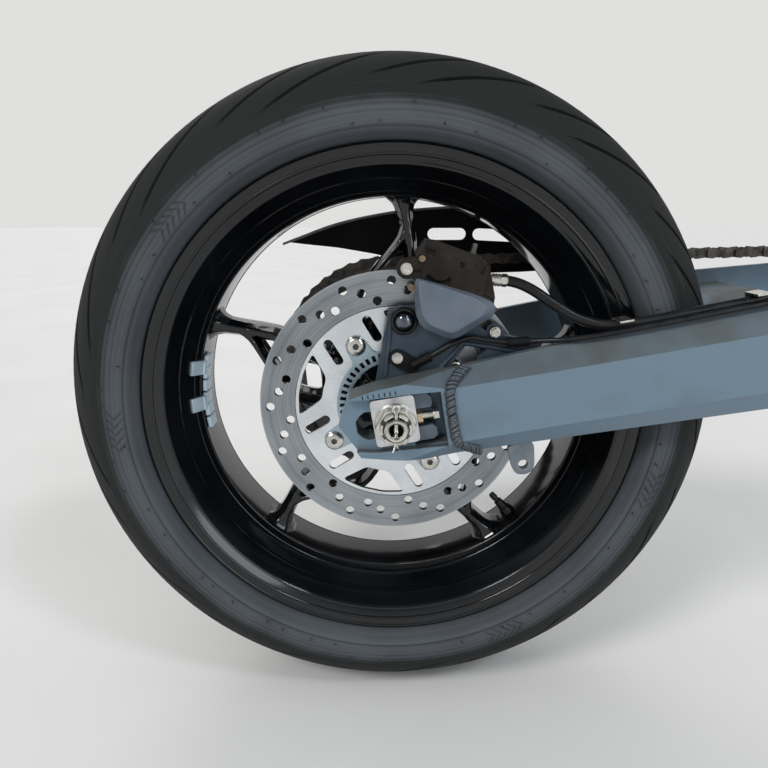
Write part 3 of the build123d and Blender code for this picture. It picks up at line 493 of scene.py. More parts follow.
class Shape:
    """A mesh in the making, in millimetres."""

    def __init__(self) -> None:
        """Starts empty."""
        self.bm = bmesh.new()

    def plate(self, outline: Sequence[Point], low: float, high: float,
              holes: Iterable[Sequence[Point]] = ()) -> Shape:
        """Adds a plate across Y, with holes.

        Args:
            outline: Closed outline of (X, Z) points.
            low: Lower face, across.
            high: Upper face, across.
            holes: Closed outlines that are cut out.

        Returns:
            This shape.
        """
        loops = [[self.bm.verts.new((x, low, z)) for x, z in loop] for loop in (outline, *holes)]
        if len(loops) == 1:
            faces = [self.bm.faces.new(loops[0])]
        else:
            edges = [self.bm.edges.new(pair) for loop in loops for pair in zip(loop, loop[1:] + loop[:1])]
            filled = bmesh.ops.triangle_fill(self.bm, use_beauty=True, use_dissolve=False, edges=edges)
            faces = [item for item in filled["geom"] if isinstance(item, bmesh.types.BMFace)]
        grown = bmesh.ops.extrude_face_region(self.bm, geom=faces)
        top = [item for item in grown["geom"] if isinstance(item, bmesh.types.BMVert)]
        bmesh.ops.translate(self.bm, verts=top, vec=(0, high - low, 0))
        return self

    def lathe(self, profile: Sequence[Point], segments: int = 48, closed: bool = True) -> Shape:
        """Adds a body turned about Y from (radius, across) points.

        Args:
            profile: Points of the section; an open one starts and ends at radius zero.
            segments: Steps of the full turn.
            closed: Whether the last point joins the first.

        Returns:
            This shape.
        """
        line = [self.bm.verts.new((r, y, 0)) for r, y in profile]
        pairs = zip(line, line[1:] + line[:1]) if closed else zip(line, line[1:])
        edges = [self.bm.edges.new(pair) for pair in pairs]
        bmesh.ops.spin(self.bm, geom=line + edges, cent=(0, 0, 0), axis=ACROSS, dvec=(0, 0, 0),
                       angle=math.tau, steps=segments, use_merge=True, use_duplicate=False)
        return self

    def rod(self, start: Sequence[float], end: Sequence[float], radius: float, sides: int = 16,
            tip: float | None = None) -> Shape:
        """Adds a round or polygonal bar between two points, tapered where tip is given.

        Args:
            start: Middle of the first end.
            end: Middle of the other end.
            radius: Radius to the corners.
            sides: Sides of the section.
            tip: Radius at the other end.

        Returns:
            This shape.
        """
        a, b = Vector(start), Vector(end)
        turn = (b - a).to_track_quat("Z", "Y").to_matrix().to_4x4()
        place = Matrix.Translation((a + b) / 2) @ turn
        bmesh.ops.create_cone(self.bm, cap_ends=True, cap_tris=False, segments=sides, radius1=radius,
                              radius2=radius if tip is None else tip, depth=(b - a).length, matrix=place)
        return self

    def box(self, size: Sequence[float], place: Matrix) -> Shape:
        """Adds a box of a size at a place."""
        bmesh.ops.create_cube(self.bm, size=1.0, matrix=place @ Matrix.Diagonal((*size, 1.0)))
        return self

    def ball(self, radii: Sequence[float], place: Matrix, rings: int = 8) -> Shape:
        """Adds an ellipsoid at a place.

        Args:
            radii: Half axes.
            place: Its middle and turn.
            rings: Rings from pole to pole.

        Returns:
            This shape.
        """
        bmesh.ops.create_uvsphere(self.bm, u_segments=rings * 2, v_segments=rings, radius=1.0,
                                  matrix=place @ Matrix.Diagonal((*radii, 1.0)))
        return self

    def loft(self, stations: Sequence[tuple[Vector, Vector, float, float]], sides: int = 8) -> Shape:
        """Adds a bar that changes its section along a line in the wheel's plane.

        Args:
            stations: Point, heading, half width in the plane and half depth across, of each section.
            sides: Sides of the section.

        Returns:
            This shape.
        """
        rings = []
        for index, (point, heading, width, depth) in enumerate(stations):
            along = heading.normalized()
            turn = Matrix((ACROSS.cross(along) * width, ACROSS * depth, along)).transposed().to_4x4()
            place = Matrix.Translation(point) @ turn @ Matrix.Rotation(math.pi / sides, 4, "Z")
            made = bmesh.ops.create_circle(self.bm, cap_ends=index in (0, len(stations) - 1),
                                           segments=sides, radius=1 / math.cos(math.pi / sides),
                                           matrix=place)
            rings.append(set(made["verts"]))
        for near, far in zip(rings, rings[1:]):
            edges = {edge for ring in (near, far) for vert in ring for edge in vert.link_edges
                     if edge.other_vert(vert) in ring}
            bmesh.ops.bridge_loops(self.bm, edges=list(edges))
        return self

    def tube(self, points: Sequence[Sequence[float]], radius: float) -> Shape:
        """Adds a cord whose line is a smooth spline with these control points.

        Args:
            points: Control points of the spline.
            radius: Radius of the cord.

        Returns:
            This shape.
        """
        curve = bpy.data.curves.new("route", "CURVE")
        curve.dimensions = "3D"
        spline = curve.splines.new("NURBS")
        spline.points.add(len(points) - 1)
        for knot, point in zip(spline.points, points):
            knot.co = (*point, 1.0)
        spline.order_u = 3
        spline.use_endpoint_u = True
        curve.resolution_u, curve.bevel_resolution = CORD_STEPS
        curve.bevel_depth = radius
        curve.use_fill_caps = True
        return self.take(add_object("route", curve))

    def take(self, source: bpy.types.Object) -> Shape:
        """Adds the evaluated mesh of an object in the scene, then drops the object.

        Args:
            source: The object.

        Returns:
            This shape.
        """
        graph = bpy.context.evaluated_depsgraph_get()
        mesh = bpy.data.meshes.new_from_object(source.evaluated_get(graph))
        self.bm.from_mesh(mesh)
        bpy.data.objects.remove(source)
        bpy.data.meshes.remove(mesh)
        return self

    def stamp(self, other: Shape, places: Iterable[Matrix]) -> Shape:
        """Adds a copy of another shape at each place.

        Args:
            other: The shape to copy.
            places: Where each copy goes.

        Returns:
            This shape.
        """
        mesh = bpy.data.meshes.new("stamp")
        other.bm.to_mesh(mesh)
        for place in places:
            copy = mesh.copy()
            copy.transform(place)
            self.bm.from_mesh(copy)
            bpy.data.meshes.remove(copy)
        bpy.data.meshes.remove(mesh)
        return self

    def tidy(self) -> Shape:
        """Merges doubles and turns every face outwards.

        Returns:
            This shape.
        """
        bmesh.ops.remove_doubles(self.bm, verts=self.bm.verts[:], dist=WELD)
        bmesh.ops.recalc_face_normals(self.bm, faces=self.bm.faces[:])
        return self

    def bevel(self, width: float, segments: int = 2, limit: float = 32.0) -> Shape:
        """Rounds every edge that turns by more than the limit in degrees.

        Args:
            width: Width of the rounding.
            segments: Steps across it.
            limit: Angle from which an edge counts as sharp.

        Returns:
            This shape.
        """
        self.tidy()
        sharp = [e for e in self.bm.edges
                 if len(e.link_faces) == 2 and e.calc_face_angle(0.0) > math.radians(limit)]
        bmesh.ops.bevel(self.bm, geom=sharp, offset=width, offset_type="OFFSET", segments=segments,
                        profile=0.5, affect="EDGES", clamp_overlap=True, material=-1)
        return self

    def cut(self, y: float, keep: int) -> Shape:
        """Keeps what lies on one side of a plane across Y, and closes it there.

        Args:
            y: Place of the plane.
            keep: 1 to keep what lies above it, -1 for what lies below.

        Returns:
            This shape.
        """
        whole = self.bm.verts[:] + self.bm.edges[:] + self.bm.faces[:]
        split = bmesh.ops.bisect_plane(self.bm, geom=whole, dist=ON_CUT, plane_co=(0, y, 0),
                                       plane_no=ACROSS * -keep, clear_outer=True)
        rim = [item for item in split["geom_cut"] if isinstance(item, bmesh.types.BMEdge)]
        bmesh.ops.triangle_fill(self.bm, use_beauty=True, use_dissolve=True, edges=rim)
        return self

    def fuse(self, voxel: float, passes: int) -> Shape:
        """Fuses all that is in the shape and softens it, as in a casting.

        Args:
            voxel: Size of the grid, in millimetres.
            passes: How often each point is drawn towards its neighbours.

        Returns:
            This shape.
        """
        self.tidy()
        mesh = bpy.data.meshes.new("rough")
        self.bm.to_mesh(mesh)
        self.bm.clear()
        source = add_object("rough", mesh)
        remesh = source.modifiers.new("remesh", "REMESH")
        remesh.mode = "VOXEL"
        remesh.voxel_size = voxel
        self.take(source)
        for _ in range(passes):
            bmesh.ops.smooth_vert(self.bm, verts=self.bm.verts[:], factor=0.5, use_axis_x=True,
                                  use_axis_y=True, use_axis_z=True)
        return self


@dataclass
class Workshop:
    """Turns shapes into finished pieces that ride on their body."""

    nodes: dict[str, bpy.types.Object]
    axle: Vector
    slope: float = 9.5
    left_shift: float = 32.0
    # Gap in millimetres that is closed and bend in degrees that counts as flat, in a CAD mesh
    gap: float = 0.01
    flat: float = 0.6

    @property
    def upright(self) -> Matrix:
        """From millimetres about the axle to the row frame."""
        return Matrix.Translation(self.axle) @ Matrix.Scale(MM, 4)

    @property
    def along_arm(self) -> Matrix:
        """From millimetres along the arm to the row frame."""
        return self.upright @ Matrix.Rotation(-math.radians(self.slope), 4, "Y")

    @property
    def to_left(self) -> Matrix:
        """From a right-hand arm piece to its left-hand twin, in millimetres."""
        return at(0, self.left_shift, 0) @ Matrix.Diagonal((1, -1, 1, 1))

    def both(self, shape: Shape) -> Shape:
        """A right-hand shape together with its left-hand twin."""
        return Shape().stamp(shape, [Matrix(), self.to_left])

    def piece(self, shape: Shape, name: str, body: Body, finish: Finish, place: Matrix | None = None,
              replaces: Sequence[str] = (), soft: float = 38.0) -> None:
        """Makes a shape a finished piece.

        Args:
            shape: The mesh, in millimetres; it is used up.
            name: Name of the piece.
            body: The body that it rides on.
            finish: Its surface.
            place: Matrix into the row frame; upright about the axle where it isn't given.
            replaces: CAD nodes that it stands for.
            soft: Angle in degrees up to which neighbouring faces shade as one surface.
        """
        shape.tidy()
        shape.bm.transform(self.upright if place is None else place)
        mesh = bpy.data.meshes.new(name)
        shape.bm.to_mesh(mesh)
        shape.bm.free()
        mesh.shade_smooth()
        mesh.set_sharp_from_angle(angle=math.radians(soft))
        mesh.materials.append(finish.material(self.axle))
        made = add_object(name, mesh)
        made.modifiers.new("weighted_normals", "WEIGHTED_NORMAL").keep_sharp = True
        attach(made, body.value)
        if replaces:
            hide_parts(*replaces)
        LOG.info("%s: %d faces", name, len(mesh.polygons))

    def from_node(self, node: str, place: Matrix) -> Shape:
        """Copies a CAD node's mesh and makes its flat faces whole.

        Args:
            node: Name of the node.
            place: Matrix from the shape's millimetres into the row frame.

        Returns:
            The copy, in millimetres.
        """
        shape = Shape()
        shape.bm.from_mesh(self.nodes[node].data)
        shape.bm.transform(place.inverted())
        bmesh.ops.remove_doubles(shape.bm, verts=shape.bm.verts[:], dist=self.gap)
        bmesh.ops.dissolve_limit(shape.bm, angle_limit=math.radians(self.flat), verts=shape.bm.verts[:],
                                 edges=shape.bm.edges[:])
        return shape

    def dressed(self, node: str, name: str, body: Body, finish: Finish, width: float,
                place: Matrix | None = None) -> None:
        """Makes a piece of a CAD node's own form, with its edges rounded.

        Args:
            node: The CAD node that the piece stands for.
            name: Name of the piece.
            body: The body that it rides on.
            finish: Its surface.
            width: Width of the rounding, in millimetres.
            place: Matrix into the row frame; upright about the axle where it isn't given.
        """
        place = self.upright if place is None else place
        self.piece(self.from_node(node, place).bevel(width), name, body, finish, place, [node])


@dataclass
class Tyre:
    """Radial tyre with swept grooves on a long curved tread."""

    crown: float = 315.0
    # Section as (radius, across): outside from the crown to the bead, inside back to the crown
    outer: Points = (
        (315, 0), (314.1, 15), (311.2, 30), (306.2, 44), (299, 56.5), (289, 68.5), (277.5, 78.5),
        (266, 85), (256, 88.8), (247, 90), (241.5, 88.8), (237.5, 84.5), (235, 78), (233, 69.8))
    inner: Points = (
        (219, 69.5), (219, 58), (245, 72), (262, 73), (290, 48), (301, 20), (302, 0))
    # Two grooves a pitch, which lag behind by the sweep where the tread ends
    pitches: int = 13
    tread_run: float = 98.0
    sweep: float = 185.0
    sweep_power: float = 1.55
    groove: float = 9.5
    wall: float = 1.3
    depth: float = 5.2
    shallowing: float = 0.45
    land_steps: int = 5
    # Runs from the crown where a groove starts and ends, and over which it slopes there
    long_run: Point = (9.0, 82.0)
    short_run: Point = (44.0, 94.0)
    ramps: Point = (7.0, 14.0)
    # Least distance of the sidewall from the mid-plane
    side_start: float = 60.0
    # Ring by the bead: radius, half width of foot and top, rise
    rib: float = 243.5
    rib_section: Spot = (1.1, 0.5, 0.45)
    # Middle of each field of chevrons in degrees, and which way round they point
    fields: Points = ((138.0, 1), (184.0, -1), (296.0, -1), (342.0, 1))
    chevrons: int = 5
    chevron_step: float = 1.7
    # Radius and lean of a chevron's two bars
    bars: Points = ((249.4, 42), (256.6, -42))
    bar_size: Spot = (10.4, 0.9, 1.5)
    bar_sink: float = 0.1
    whiskers: int = 62
    whisker_radii: Point = (247.0, 263.0)
    whisker_ends: Point = (0.8, 0.45)
    whisker_rise: float = 4.4
    whisker_sink: float = 0.4
    whisker_lean: float = 1.6
    whisker_drift: float = 0.3

    def rows(self) -> list[Spot]:
        """Closed section as (radius, across, run from the crown).

        Returns:
            Points of the section, with the first one once more at the end.
        """
        half = [tuple(p) for p in smooth_line(self.outer, 3)]
        run, runs = 0.0, [0.0]
        for (r0, y0), (r1, y1) in zip(half, half[1:]):
            run += math.hypot(r1 - r0, y1 - y0)
            runs.append(run)
        left = [(r, y, s) for (r, y), s in zip(half, runs)]
        hidden = [(r, y, run) for r, y in self.inner]
        right = [(r, -y, -s) for r, y, s in left[:0:-1]]
        back = [(r, -y, -run) for r, y, _ in hidden[-2::-1]]
        return right + left + hidden + back + right[:1]

    def columns(self) -> list[tuple[float, int]]:
        """Distance round the crown of each column, and the groove that it is the floor of.

        Returns:
            Distance and groove; groove 0 is none.
        """
        length = math.tau * self.crown / self.pitches
        half, edge = self.groove / 2, self.groove / 2 + self.wall
        gap = length / 2 - 2 * edge
        made = []
        for pitch in range(self.pitches):
            for kind, centre in ((1, 0.0), (2, length / 2)):
                base = pitch * length + centre
                made += [(base - edge, 0), (base - half, kind), (base, kind), (base + half, kind),
                         (base + edge, 0)]
                made += [(base + edge + gap * step / self.land_steps, 0)
                         for step in range(1, self.land_steps)]
        return [*made, (made[0][0] + math.tau * self.crown, 0)]

    def sunk(self, kind: int, run: float) -> float:
        """Depth of the tread at a column's kind and a run from the crown.

        Args:
            kind: Groove of the column, 0 for none.
            run: Run from the crown, to the left.

        Returns:
            The depth.
        """
        low, high = self.long_run if (kind == 1) == (run > 0) else self.short_run
        away = abs(run)
        if kind == 0 or not low < away < high:
            return 0.0
        share = min(1.0, (away - low) / self.ramps[0], (high - away) / self.ramps[1])
        return self.depth * share * (1.0 - self.shallowing * away / self.tread_run)

    def carcass(self) -> Shape:
        """Tread, sidewalls and beads in one closed skin.

        Returns:
            The shape.
        """
        rows, columns = self.rows(), self.columns()
        shape = Shape()
        bmesh.ops.create_grid(shape.bm, x_segments=len(columns) - 1, y_segments=len(rows) - 1, size=1.0)
        for vert in shape.bm.verts:
            base, kind = columns[round((vert.co.x + 1) / 2 * (len(columns) - 1))]
            index = round((vert.co.y + 1) / 2 * (len(rows) - 1))
            r, y, run = rows[index]
            after, before = rows[(index + 1) % len(rows)], rows[index - 1]
            out = Vector((after[1] - before[1], before[0] - after[0]))
            r, y = Vector((r, y)) - out.normalized() * self.sunk(kind, run) if out.length else (r, y)
            lag = self.sweep * min(1.0, abs(run) / self.tread_run) ** self.sweep_power
            turn = (base + lag) / self.crown
            vert.co = (r * math.cos(turn), y, r * math.sin(turn))
        return shape

    def side_at(self, radius: float) -> float:
        """Across place of the sidewall's skin at a radius."""
        wall = [tuple(p) for p in smooth_line(self.outer, 6)]
        return min((p for p in wall if p[1] > self.side_start), key=lambda p: abs(p[0] - radius))[1]

    def chevron(self, side: int, way: float) -> Shape:
        """One chevron, drawn at angle zero on the left or right sidewall.

        Args:
            side: 1 for the left sidewall, -1 for the right.
            way: 1 or -1, which way round it points.

        Returns:
            The chevron.
        """
        made = Shape()
        for radius, lean in self.bars:
            bar = Matrix.Rotation(math.radians(lean * way), 4, "Y")
            made.box(self.bar_size, at(radius, (self.side_at(radius) - self.bar_sink) * side, 0) @ bar)
        return made

    def mouldings(self) -> Shape:
        """Fine ring, fields of chevrons and vent whiskers of both sidewalls.

        Returns:
            The shape.
        """
        shape = Shape()
        foot, top, rise = self.rib_section
        for side in (-1, 1):
            y = self.side_at(self.rib) * side
            shape.lathe([(self.rib - foot, y - side), (self.rib - top, y + rise * side),
                         (self.rib + top, y + rise * side), (self.rib + foot, y - side)], 160)
            for middle, way in self.fields:
                start = middle - self.chevron_step * (self.chevrons - 1) / 2
                turns = [turned_by(start + self.chevron_step * k) for k in range(self.chevrons)]
                shape.stamp(self.chevron(side, way), turns)
        luck = random.Random(17)
        for side in (-1, 1):
            for step in range(self.whiskers):
                radius = luck.choice(self.whisker_radii)
                drift = luck.uniform(-self.whisker_drift, self.whisker_drift)
                turn = turned_by(360 * (step + drift) / self.whiskers)
                lean = [luck.uniform(-self.whisker_lean, self.whisker_lean) for _ in range(2)]
                foot = Vector((radius, (self.side_at(radius) - self.whisker_sink) * side, 0))
                tip = foot + Vector((lean[0], self.whisker_rise * side, lean[1]))
                shape.rod(turn @ foot, turn @ tip, self.whisker_ends[0], 5, self.whisker_ends[1])
        return shape

    def build(self, shop: Workshop) -> None:
        """Makes the tyre's pieces."""
        shop.piece(self.carcass(), "tyre_carcass", Body.WHEEL, Finishes.TYRE, replaces=["tyre"], soft=42)
        shop.piece(self.mouldings(), "tyre_mouldings", Body.WHEEL, Finishes.MOULDING)


@dataclass
class CastWheel:
    """Five-spoke cast wheel with its weights and valve."""

    spoke_start: float = 87.0
    spoke_count: int = 5
    # Left half of the rim's section as (radius, across), outside and back inside
    half_rim: Points = (
        (189.5, 0), (189.5, 26), (190.6, 28.6), (192.6, 30.2), (193.4, 32.6), (194.6, 35.2),
        (197.6, 38.4), (203.2, 46.6), (204.4, 48.6), (203.9, 50.6), (204.6, 52.4), (205.6, 54.4),
        (212.8, 65.4), (213.6, 67.2), (215.0, 68.2), (216.8, 69.0), (218.2, 70.6), (224.6, 74.2),
        (226.4, 75.0), (230.4, 75.0), (231.8, 74.0), (232.0, 72.6), (231.8, 71.0), (230.4, 70.2),
        (221.0, 69.9), (218.6, 68.8), (216.6, 53.0), (214.6, 50.2), (197.4, 36.2), (195.4, 32.8),
        (195.0, 29.0), (195.0, 0))
    # Radius, distance from the mid-plane and roundness of the rim's ridges
    ridges: tuple[Spot, ...] = (
        (230.6, 73.6, 1.9), (223.2, 72.3, 1.7), (215.6, 66.6, 1.9), (206.4, 50.6, 2.0),
        (195.0, 32.8, 1.8), (190.8, 26.6, 1.6))
    # Radius, lean, half width, half depth and mid-plane of a spoke's sections
    spoke: tuple[Row, ...] = (
        (30, 0, 12, 42, -3), (58, -4, 9.6, 37, -2.6), (92, -9, 8.2, 30, -1.5),
        (112, -11.5, 7.6, 26.5, -0.8), (130, -11.5, 7.3, 24, -0.5), (148, -8.5, 7.4, 21.6, -0.4),
        (164, -5, 7.6, 19.6, -0.2), (176, -2.4, 8.2, 18.8, 0), (183, -0.8, 10.6, 19.4, 0),
        (187.5, 0.6, 15.2, 21, 0), (190.6, 1.2, 21.5, 24, 0), (192.8, 1.4, 25, 26, 0))
    # Leg that forks off a spoke: its line, mid-plane, and half depth and width where they are least
    leg: Points = (
        (164, -5), (150, -1), (136, 9), (118, 23), (101, 36), (84, 39), (62, 35), (30, 23))
    leg_middle: float = -1.5
    leg_depth: float = 19.0
    leg_end: float = 160.0
    deepening: float = 0.15
    leg_width: float = 4.5
    leg_waist: float = 112.0
    widening: float = 0.02
    hub: Points = (
        (17.5, -52), (34, -52), (38, -48), (38, 6), (44, 12), (70, 14), (74, 18), (74, 54), (70, 58),
        (12, 58), (12, -44), (17.5, -44))
    # Seats of the disc's bolts, and the ribs that carry them
    bolt_circle: float = 66.0
    bolt_start: float = 31.8
    seat_face: float = -60.0
    seat_depth: float = 16.0
    seat_radius: float = 11.5
    seat_rib: Spot = (42, 13, 17)
    seat_rib_middle: Spot = (46, -51, 0)
    grid: float = 1.5
    # Size, middle and slope of a weight's two legs
    weight_turns: Point = (171.6, 182.6)
    weight_legs: tuple[tuple[Spot, Spot, float], ...] = (
        ((4.6, 27, 14), (187.6, -16.0, 0), 0.0), ((4.0, 14.5, 14), (192.6, -33.6, 0), 35.5))
    # Start, end, radius and tip's radius of the valve's foot, stem, neck and cap
    valve_turn: float = 312.0
    valve_parts: tuple[Row, ...] = (
        (189.2, 182.5, 8.0, 6.4), (182.5, 172, 5.2, 4.4), (172, 168, 2.9, 2.9), (168, 161.8, 3.6, 3.2))

    def rim(self) -> Shape:
        """Drop-centre rim turned from its section."""
        half = list(self.half_rim)
        return Shape().lathe(half + [(r, -y) for r, y in half[-2:0:-1]], 220)

    def edges(self) -> Shape:
        """Rounded ridges that catch the light along the rim's steps.

        Returns:
            The shape.
        """
        shape = Shape()
        for radius, away, roundness in self.ridges:
            for side in (-1, 1):
                shape.stamp(Shape().lathe(circle(radius, away * side, roundness, 12), 200), [Matrix()])
        return shape

    def fork(self) -> Shape:
        """One spoke with the leg that forks off it.

        Returns:
            The shape.
        """
        made, ahead = Shape(), Vector((1, 0, 0))
        made.loft([(Vector((r, mid, lean)), ahead, width, depth)
                   for r, lean, width, depth, mid in self.spoke])
        line = smooth_line(self.leg, 2)
        stations = []
        for index, point in enumerate(line):
            near, far = line[max(index - 1, 0)], line[min(index + 1, len(line) - 1)]
            heading = Vector((far.x - near.x, 0, far.y - near.y))
            width = self.leg_width + self.widening * abs(point.length - self.leg_waist)
            depth = self.leg_depth + (self.leg_end - point.length) * self.deepening
            stations.append((Vector((point.x, self.leg_middle, point.y)), heading, width, depth))
        return made.loft(stations)

    def centre(self) -> Shape:
        """Spokes, hub and disc seats, fused as they are cast.

        Returns:
            The shape.
        """
        shape = Shape().lathe(self.hub, 64)
        shape.stamp(self.fork(), around(self.spoke_count, self.spoke_start))
        foot = self.seat_face + self.seat_depth
        seat = Shape().rod((self.bolt_circle, self.seat_face, 0), (self.bolt_circle, foot, 0),
                           self.seat_radius, 20)
        seat.box(self.seat_rib, at(*self.seat_rib_middle))
        shape.stamp(seat, around(4, self.bolt_start))
        return shape.fuse(self.grid, 2)

    def weights(self) -> Shape:
        """Two bright weights bent over the barrel's ledge.

        Returns:
            The shape.
        """
        shape = Shape()
        for turn in self.weight_turns:
            for size, middle, slope in self.weight_legs:
                lean = Matrix.Rotation(math.radians(slope), 4, "Z")
                shape.box(size, turned_by(turn) @ at(*middle) @ lean)
        return shape.bevel(1.1)

    def valve(self) -> Shape:
        """Rubber foot, metal stem and cap, from the barrel inwards.

        Returns:
            The shape.
        """
        shape = Shape()
        for start, end, radius, tip in self.valve_parts:
            shape.rod((start, 0, 0), (end, 0, 0), radius, 20, tip)
        return Shape().stamp(shape, [turned_by(self.valve_turn)])

    def build(self, shop: Workshop) -> None:
        """Makes the wheel's pieces.

        Args:
            shop: Workshop that makes the pieces.
        """
        shop.piece(self.rim(), "wheel_rim", Body.WHEEL, Finishes.WHEEL, replaces=["wheel_casting"], soft=50)
        shop.piece(self.edges(), "rim_ridges", Body.WHEEL, Finishes.WHEEL, soft=80)
        shop.piece(self.centre(), "wheel_centre", Body.WHEEL, Finishes.WHEEL, soft=70)
        shop.dressed("balance_weights", "weight_strip", Body.WHEEL, Finishes.FOIL, 0.8)
        shop.piece(self.weights(), "weight_pair", Body.WHEEL, Finishes.FOIL)
        shop.piece(self.valve(), "valve", Body.WHEEL, Finishes.RUBBER, replaces=["valve_stem"])


@dataclass
class BrakeDisc:
    """Drilled disc with its brushed centre, pulse ring and button bolts."""

    front: float = -65.0
    back: float = -60.0
    radius: float = 125.0
    band: float = 92.4
    band_gap: float = 0.25
    bore: float = 50.0
    # Drilled holes: radius and turn of a group's outer two, and the two radii that its third takes in turn
    start: float = 31.8
    groups: int = 16
    drill: float = 4.1
    hole_pair: tuple[Point, Point] = ((115.8, 14.3), (107.9, 6.6))
    third_radii: Point = (102.8, 98.4)
    third_turn: float = -0.6
    # Centre: bolts, slots beside them and windows between, each as (radius, half angle) points
    bolt_circle: float = 66.0
    bolt_hole: float = 4.3
    slot_off: float = 21.0
    slot_run: Point = (62.5, 80.5)
    slot_width: float = 8.6
    window_inner: Points = ((67.5, 9), (67.5, 0), (67.5, -9))
    window_outer: Points = ((89.3, -20), (89.3, -7), (89.3, 7), (89.3, 20))
    window_round: float = 4.6
    # Pulse ring: its edge, its bore, its slots' radii and half angles, and half a lobe
    ring_thick: float = 2.0
    ring_edge: float = 53.0
    ring_bore: float = 41.5
    slots: int = 48
    slot_corners: Points = ((44.7, -1.9), (50.4, -1.7), (50.4, 1.7), (44.7, 1.9))
    lobe: Points = ((14, 53), (11, 56), (8.6, 66), (6.4, 72.4))
    lobe_tip: float = 75.4
    # Bolt's domed head as (radius, height), and its socket
    head: Points = ((5.6, 3.4), (7.4, 2.8), (8.7, 1.5), (9.2, 0.3), (9.2, 0))
    head_core: float = 4.6
    socket: float = 3.1

    @property
    def bolt_turns(self) -> list[float]:
        """Angles of the four bolts."""
        return [self.start + 90 * k for k in range(4)]

    @property
    def bolt_places(self) -> list[Matrix]:
        """Where the four bolts sit."""
        return [turned_by(turn) @ at(self.bolt_circle, 0, 0) for turn in self.bolt_turns]

    def drilled(self) -> Shape:
        """Outer band with its holes.

        Returns:
            The shape.
        """
        holes = [circle(0, 0, self.band, 96)]
        for group in range(self.groups):
            third = (self.third_radii[group % 2], self.third_turn)
            for radius, turn in (*self.hole_pair, third):
                middle = polar(radius, self.start + group * 360 / self.groups + turn)
                holes.append(circle(*middle, self.drill, 18))
        return Shape().plate(circle(0, 0, self.radius, 144), self.front, self.back, holes).bevel(0.45)

    def centre(self) -> Shape:
        """Disc centre with four windows and eight slots.

        Returns:
            The shape.
        """
        holes = [circle(0, 0, self.bore, 72)]
        for turn in self.bolt_turns:
            holes.append(circle(*polar(self.bolt_circle, turn), self.bolt_hole, 16))
            lean = Matrix.Rotation(math.radians(turn), 2)
            for off in (-self.slot_off, self.slot_off):
                start, end = (tuple(lean @ Vector((x, off))) for x in self.slot_run)
                holes.append(slot_outline(start, end, self.slot_width))
            window = [polar(radius, off) for radius, off in self.window_inner + self.window_outer]
            half_way = Matrix.Rotation(math.radians(turn + 45), 2)
            holes.append(rounded([tuple(half_way @ Vector(p)) for p in window], self.window_round))
        edge = circle(0, 0, self.band - self.band_gap, 96)
        return Shape().plate(edge, self.front + 0.5, self.back - 0.5, holes).bevel(0.4)

    def pulse_ring(self) -> Shape:
        """Ring with its slots and four lobes.

        Returns:
            The shape.
        """
        outline = []
        for turn in self.bolt_turns:
            outline += [polar(radius, turn - off) for off, radius in self.lobe]
            outline.append(polar(self.lobe_tip, turn))
            outline += [polar(radius, turn + off) for off, radius in reversed(self.lobe)]
            outline += [polar(self.ring_edge, turn + off) for off in range(20, 76, 5)]
        holes = [circle(0, 0, self.ring_bore, 72)]
        holes += [circle(*polar(self.bolt_circle, turn), self.bolt_hole, 16) for turn in self.bolt_turns]
        for k in range(self.slots):
            holes.append([polar(radius, 360 * k / self.slots + off) for radius, off in self.slot_corners])
        return Shape().plate(outline, self.front - self.ring_thick, self.front, holes).bevel(0.25, 1)

    def bolts(self) -> Shape:
        """Domed bolts with hexagon sockets.

        Returns:
            The shape.
        """
        seat, top, core = self.front - self.ring_thick, self.head[0][1], self.head_core
        dome = [(radius, seat - height) for radius, height in self.head]
        bolt = Shape().lathe([(core, seat - top), *dome, (core, seat)], 36)
        bolt.plate(circle(0, 0, core + 0.02, 36), seat - top, seat - 0.4, [circle(0, 0, self.socket, 6)])
        return Shape().stamp(bolt, self.bolt_places)

    def sockets(self) -> Shape:
        """Floors of the bolts' sockets, coloured dark as painted shade.

        Returns:
            The shape.
        """
        seat = self.front - self.ring_thick
        floor = Shape().plate(circle(0, 0, self.head_core, 24), seat - 0.6, seat)
        return Shape().stamp(floor, self.bolt_places)

    def build(self, shop: Workshop) -> None:
        """Makes the disc's pieces.

        Args:
            shop: Workshop that makes the pieces.
        """
        for shape, name, finish, replaces, soft in (
                (self.drilled(), "disc_band", Finishes.DISC, ["brake_disc"], 30),
                (self.centre(), "disc_centre", Finishes.DISC_CENTRE, [], 30),
                (self.pulse_ring(), "pulse_ring", Finishes.RING, ["sensor_ring"], 30),
                (self.bolts(), "disc_bolt_heads", Finishes.ZINC, ["disc_bolts"], 38),
                # Socket floors are dark as painted shade
                (self.sockets(), "disc_bolt_socket_shade", Finishes.DULL_ZINC_AND_SHADE, [], 38)):
            shop.piece(shape, name, Body.WHEEL, finish, replaces=replaces, soft=soft)


def flange_bolt(radius: float, height: float) -> Shape:
    """Hexagon flange bolt whose head stands from Y 0 towards the right.

    Args:
        radius: Radius to the hexagon's corners.
        height: Height of the head.

    Returns:
        The bolt.
    """
    head = Shape().rod((0, -height * 0.25, 0), (0, -height, 0), radius, 6).bevel(radius * 0.09)
    head.lathe([(0, 0), (radius * 1.22, 0), (radius * 1.26, -height * 0.12),
                (radius * 1.1, -height * 0.3), (0, -height * 0.32)], 28, closed=False)
    head.lathe([(0, -height + 0.2), (radius * 0.62, -height + 0.2), (radius * 0.7, -height - 0.25),
                (radius * 0.5, -height - 0.25), (radius * 0.44, -height + 0.35), (0, -height + 0.35)],
               20, closed=False)
    return head


